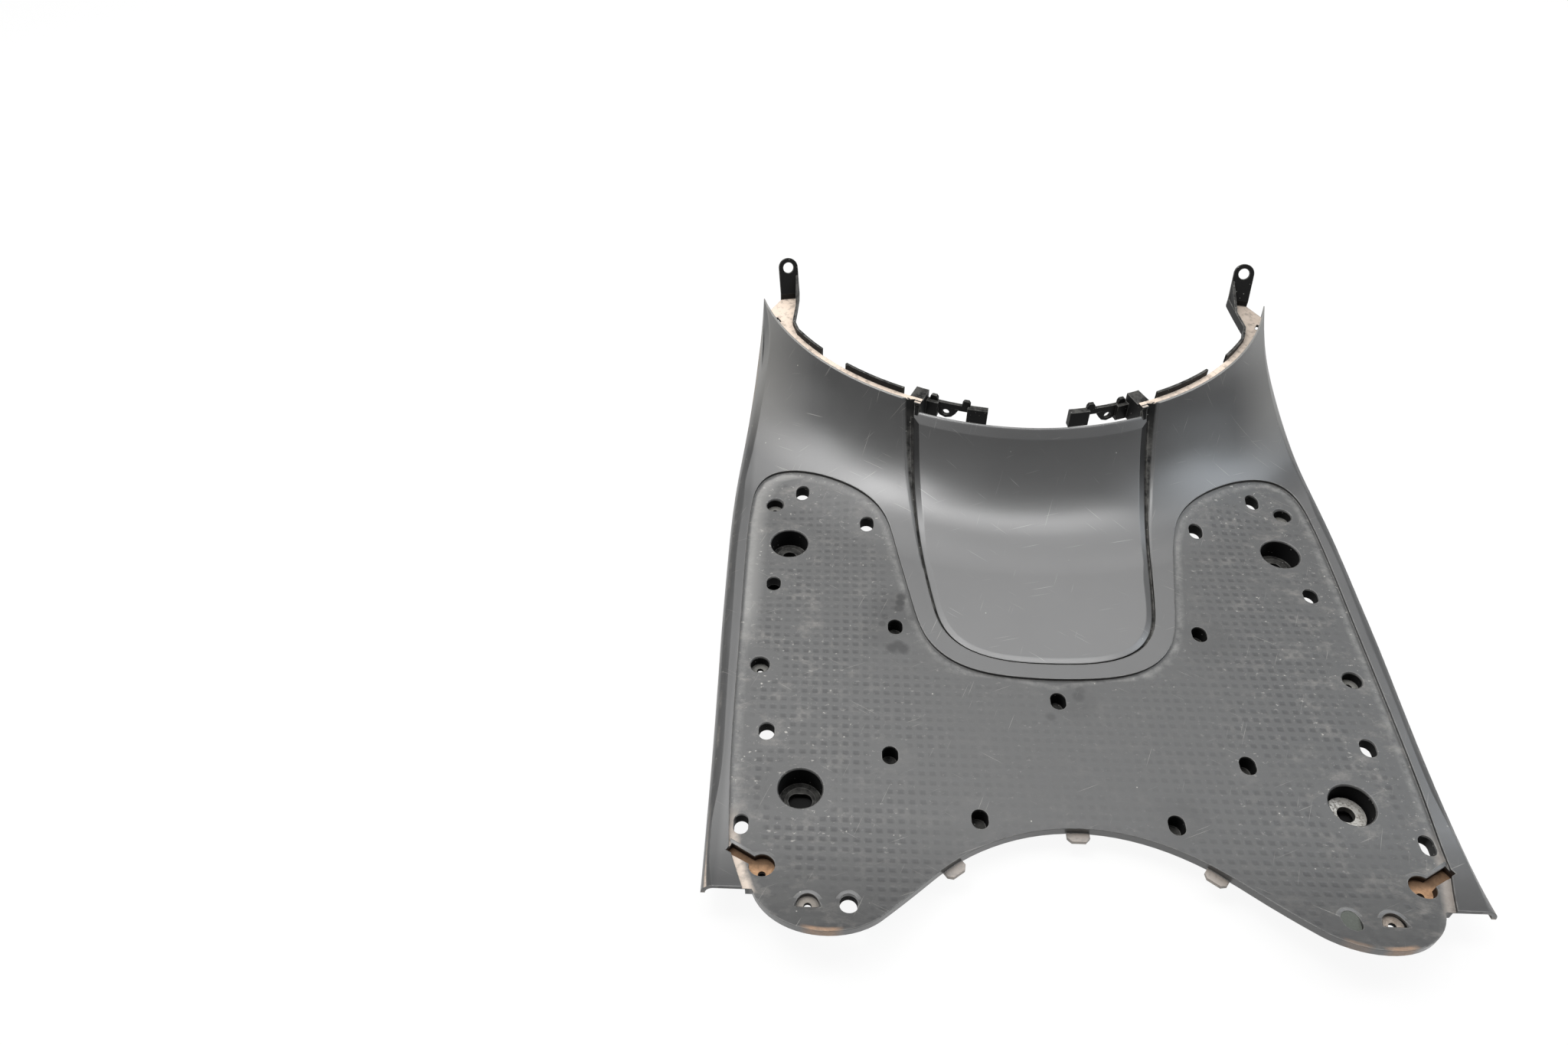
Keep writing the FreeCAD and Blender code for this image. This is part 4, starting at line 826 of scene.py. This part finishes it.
class FloorboardStudio(bpy.types.PropertyGroup):
    """Camera, lamps and floor."""
    lens: bpy.props.FloatProperty(
        name="Lens", description="Focal length of the camera on a 36 mm wide sensor",
        default=25.40, min=10.0, subtype="DISTANCE_CAMERA")
    camera_place: bpy.props.FloatVectorProperty(
        name="Camera place", description="Where the camera stands",
        default=(-0.1495, -0.525210, 0.5890), subtype="TRANSLATION", unit="LENGTH")
    camera_turn: bpy.props.FloatProperty(
        name="Camera turn", description="Turn of the view to the right",
        default=math.radians(-2.91), subtype="ANGLE")
    camera_pitch: bpy.props.FloatProperty(
        name="Camera pitch", description="Tilt of the view down from level",
        default=math.radians(44.64), subtype="ANGLE")
    camera_roll: bpy.props.FloatProperty(
        name="Camera roll", description="Roll of the view",
        default=math.radians(-0.78), subtype="ANGLE")
    lamp_power: bpy.props.FloatProperty(
        name="Lamp power", description="Power of which each soft box takes its share",
        default=22.0, min=0.0, unit="POWER")
    floor_colour: bpy.props.FloatVectorProperty(
        name="Floor colour", description="Colour of the pale floor",
        default=hex_colour("#f4f4f2"), size=4, subtype="COLOR")


class FLOORBOARD_OT_finish_board(bpy.types.Operator):
    """Gives the moulded board its worn black plastic"""
    bl_idname = "floorboard.finish_board"
    bl_label = "Finish board"

    def execute(self, context):
        dress("floorboard", board_material(context.scene.floorboard_finish))
        return {"FINISHED"}


class FLOORBOARD_OT_finish_cover(bpy.types.Operator):
    """Gives the centre cover its smoother black plastic"""
    bl_idname = "floorboard.finish_cover"
    bl_label = "Finish centre cover"

    def execute(self, context):
        dress("centre_cover", cover_material(context.scene.floorboard_finish))
        return {"FINISHED"}


class FLOORBOARD_OT_finish_small_parts(bpy.types.Operator):
    """Gives the steel collar and the rubber stub their finishes"""
    bl_idname = "floorboard.finish_small_parts"
    bl_label = "Finish collar and stub"

    def execute(self, context):
        dress("bolt_collar", collar_material(context.scene.floorboard_finish))
        dress("mat_peg_stub", stub_material(context.scene.floorboard_finish))
        return {"FINISHED"}


class FLOORBOARD_OT_build_studio(bpy.types.Operator):
    """Builds the pale floor, the soft lamps and the camera"""
    bl_idname = "floorboard.build_studio"
    bl_label = "Build studio"

    def execute(self, context):
        scene = context.scene
        studio = scene.floorboard_studio
        scene.view_settings.view_transform = "Standard"
        place_floor(scene, studio.floor_colour)
        light_world(scene)
        place_lamps(scene, studio.lamp_power)
        place_camera(scene, studio)
        return {"FINISHED"}


class VIEW3D_PT_floorboard(bpy.types.Panel):
    """Sidebar panel that lists the steps"""
    bl_idname = "VIEW3D_PT_floorboard"
    bl_label = "Floorboard"
    bl_space_type = "VIEW_3D"
    bl_region_type = "UI"
    bl_category = "Floorboard"

    def draw(self, context):
        layout = self.layout
        scene = context.scene
        for name in ("wear", "lattice_pitch", "board_colour", "cover_colour", "steel_colour", "rubber_colour",
                     "dust_colour", "mud_colour"):
            layout.prop(scene.floorboard_finish, name)
        for step in STEPS[:-1]:
            layout.operator(step.bl_idname)
        for name in ("lens", "camera_place", "camera_turn", "camera_pitch", "camera_roll", "lamp_power",
                     "floor_colour"):
            layout.prop(scene.floorboard_studio, name)
        layout.operator(STEPS[-1].bl_idname)


STEPS = [
    FLOORBOARD_OT_finish_board,
    FLOORBOARD_OT_finish_cover,
    FLOORBOARD_OT_finish_small_parts,
    FLOORBOARD_OT_build_studio,
]
CLASSES = [FloorboardFinish, FloorboardStudio, *STEPS, VIEW3D_PT_floorboard]


def register():
    for item in CLASSES:
        bpy.utils.register_class(item)
    bpy.types.Scene.floorboard_finish = bpy.props.PointerProperty(type=FloorboardFinish)
    bpy.types.Scene.floorboard_studio = bpy.props.PointerProperty(type=FloorboardStudio)


def unregister():
    del bpy.types.Scene.floorboard_studio
    del bpy.types.Scene.floorboard_finish
    for item in reversed(CLASSES):
        bpy.utils.unregister_class(item)


def main():
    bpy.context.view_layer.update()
    register()
    bpy.ops.floorboard.finish_board()
    bpy.ops.floorboard.finish_cover()
    bpy.ops.floorboard.finish_small_parts()
    bpy.ops.floorboard.build_studio()


if __name__ == "__main__":
    main()
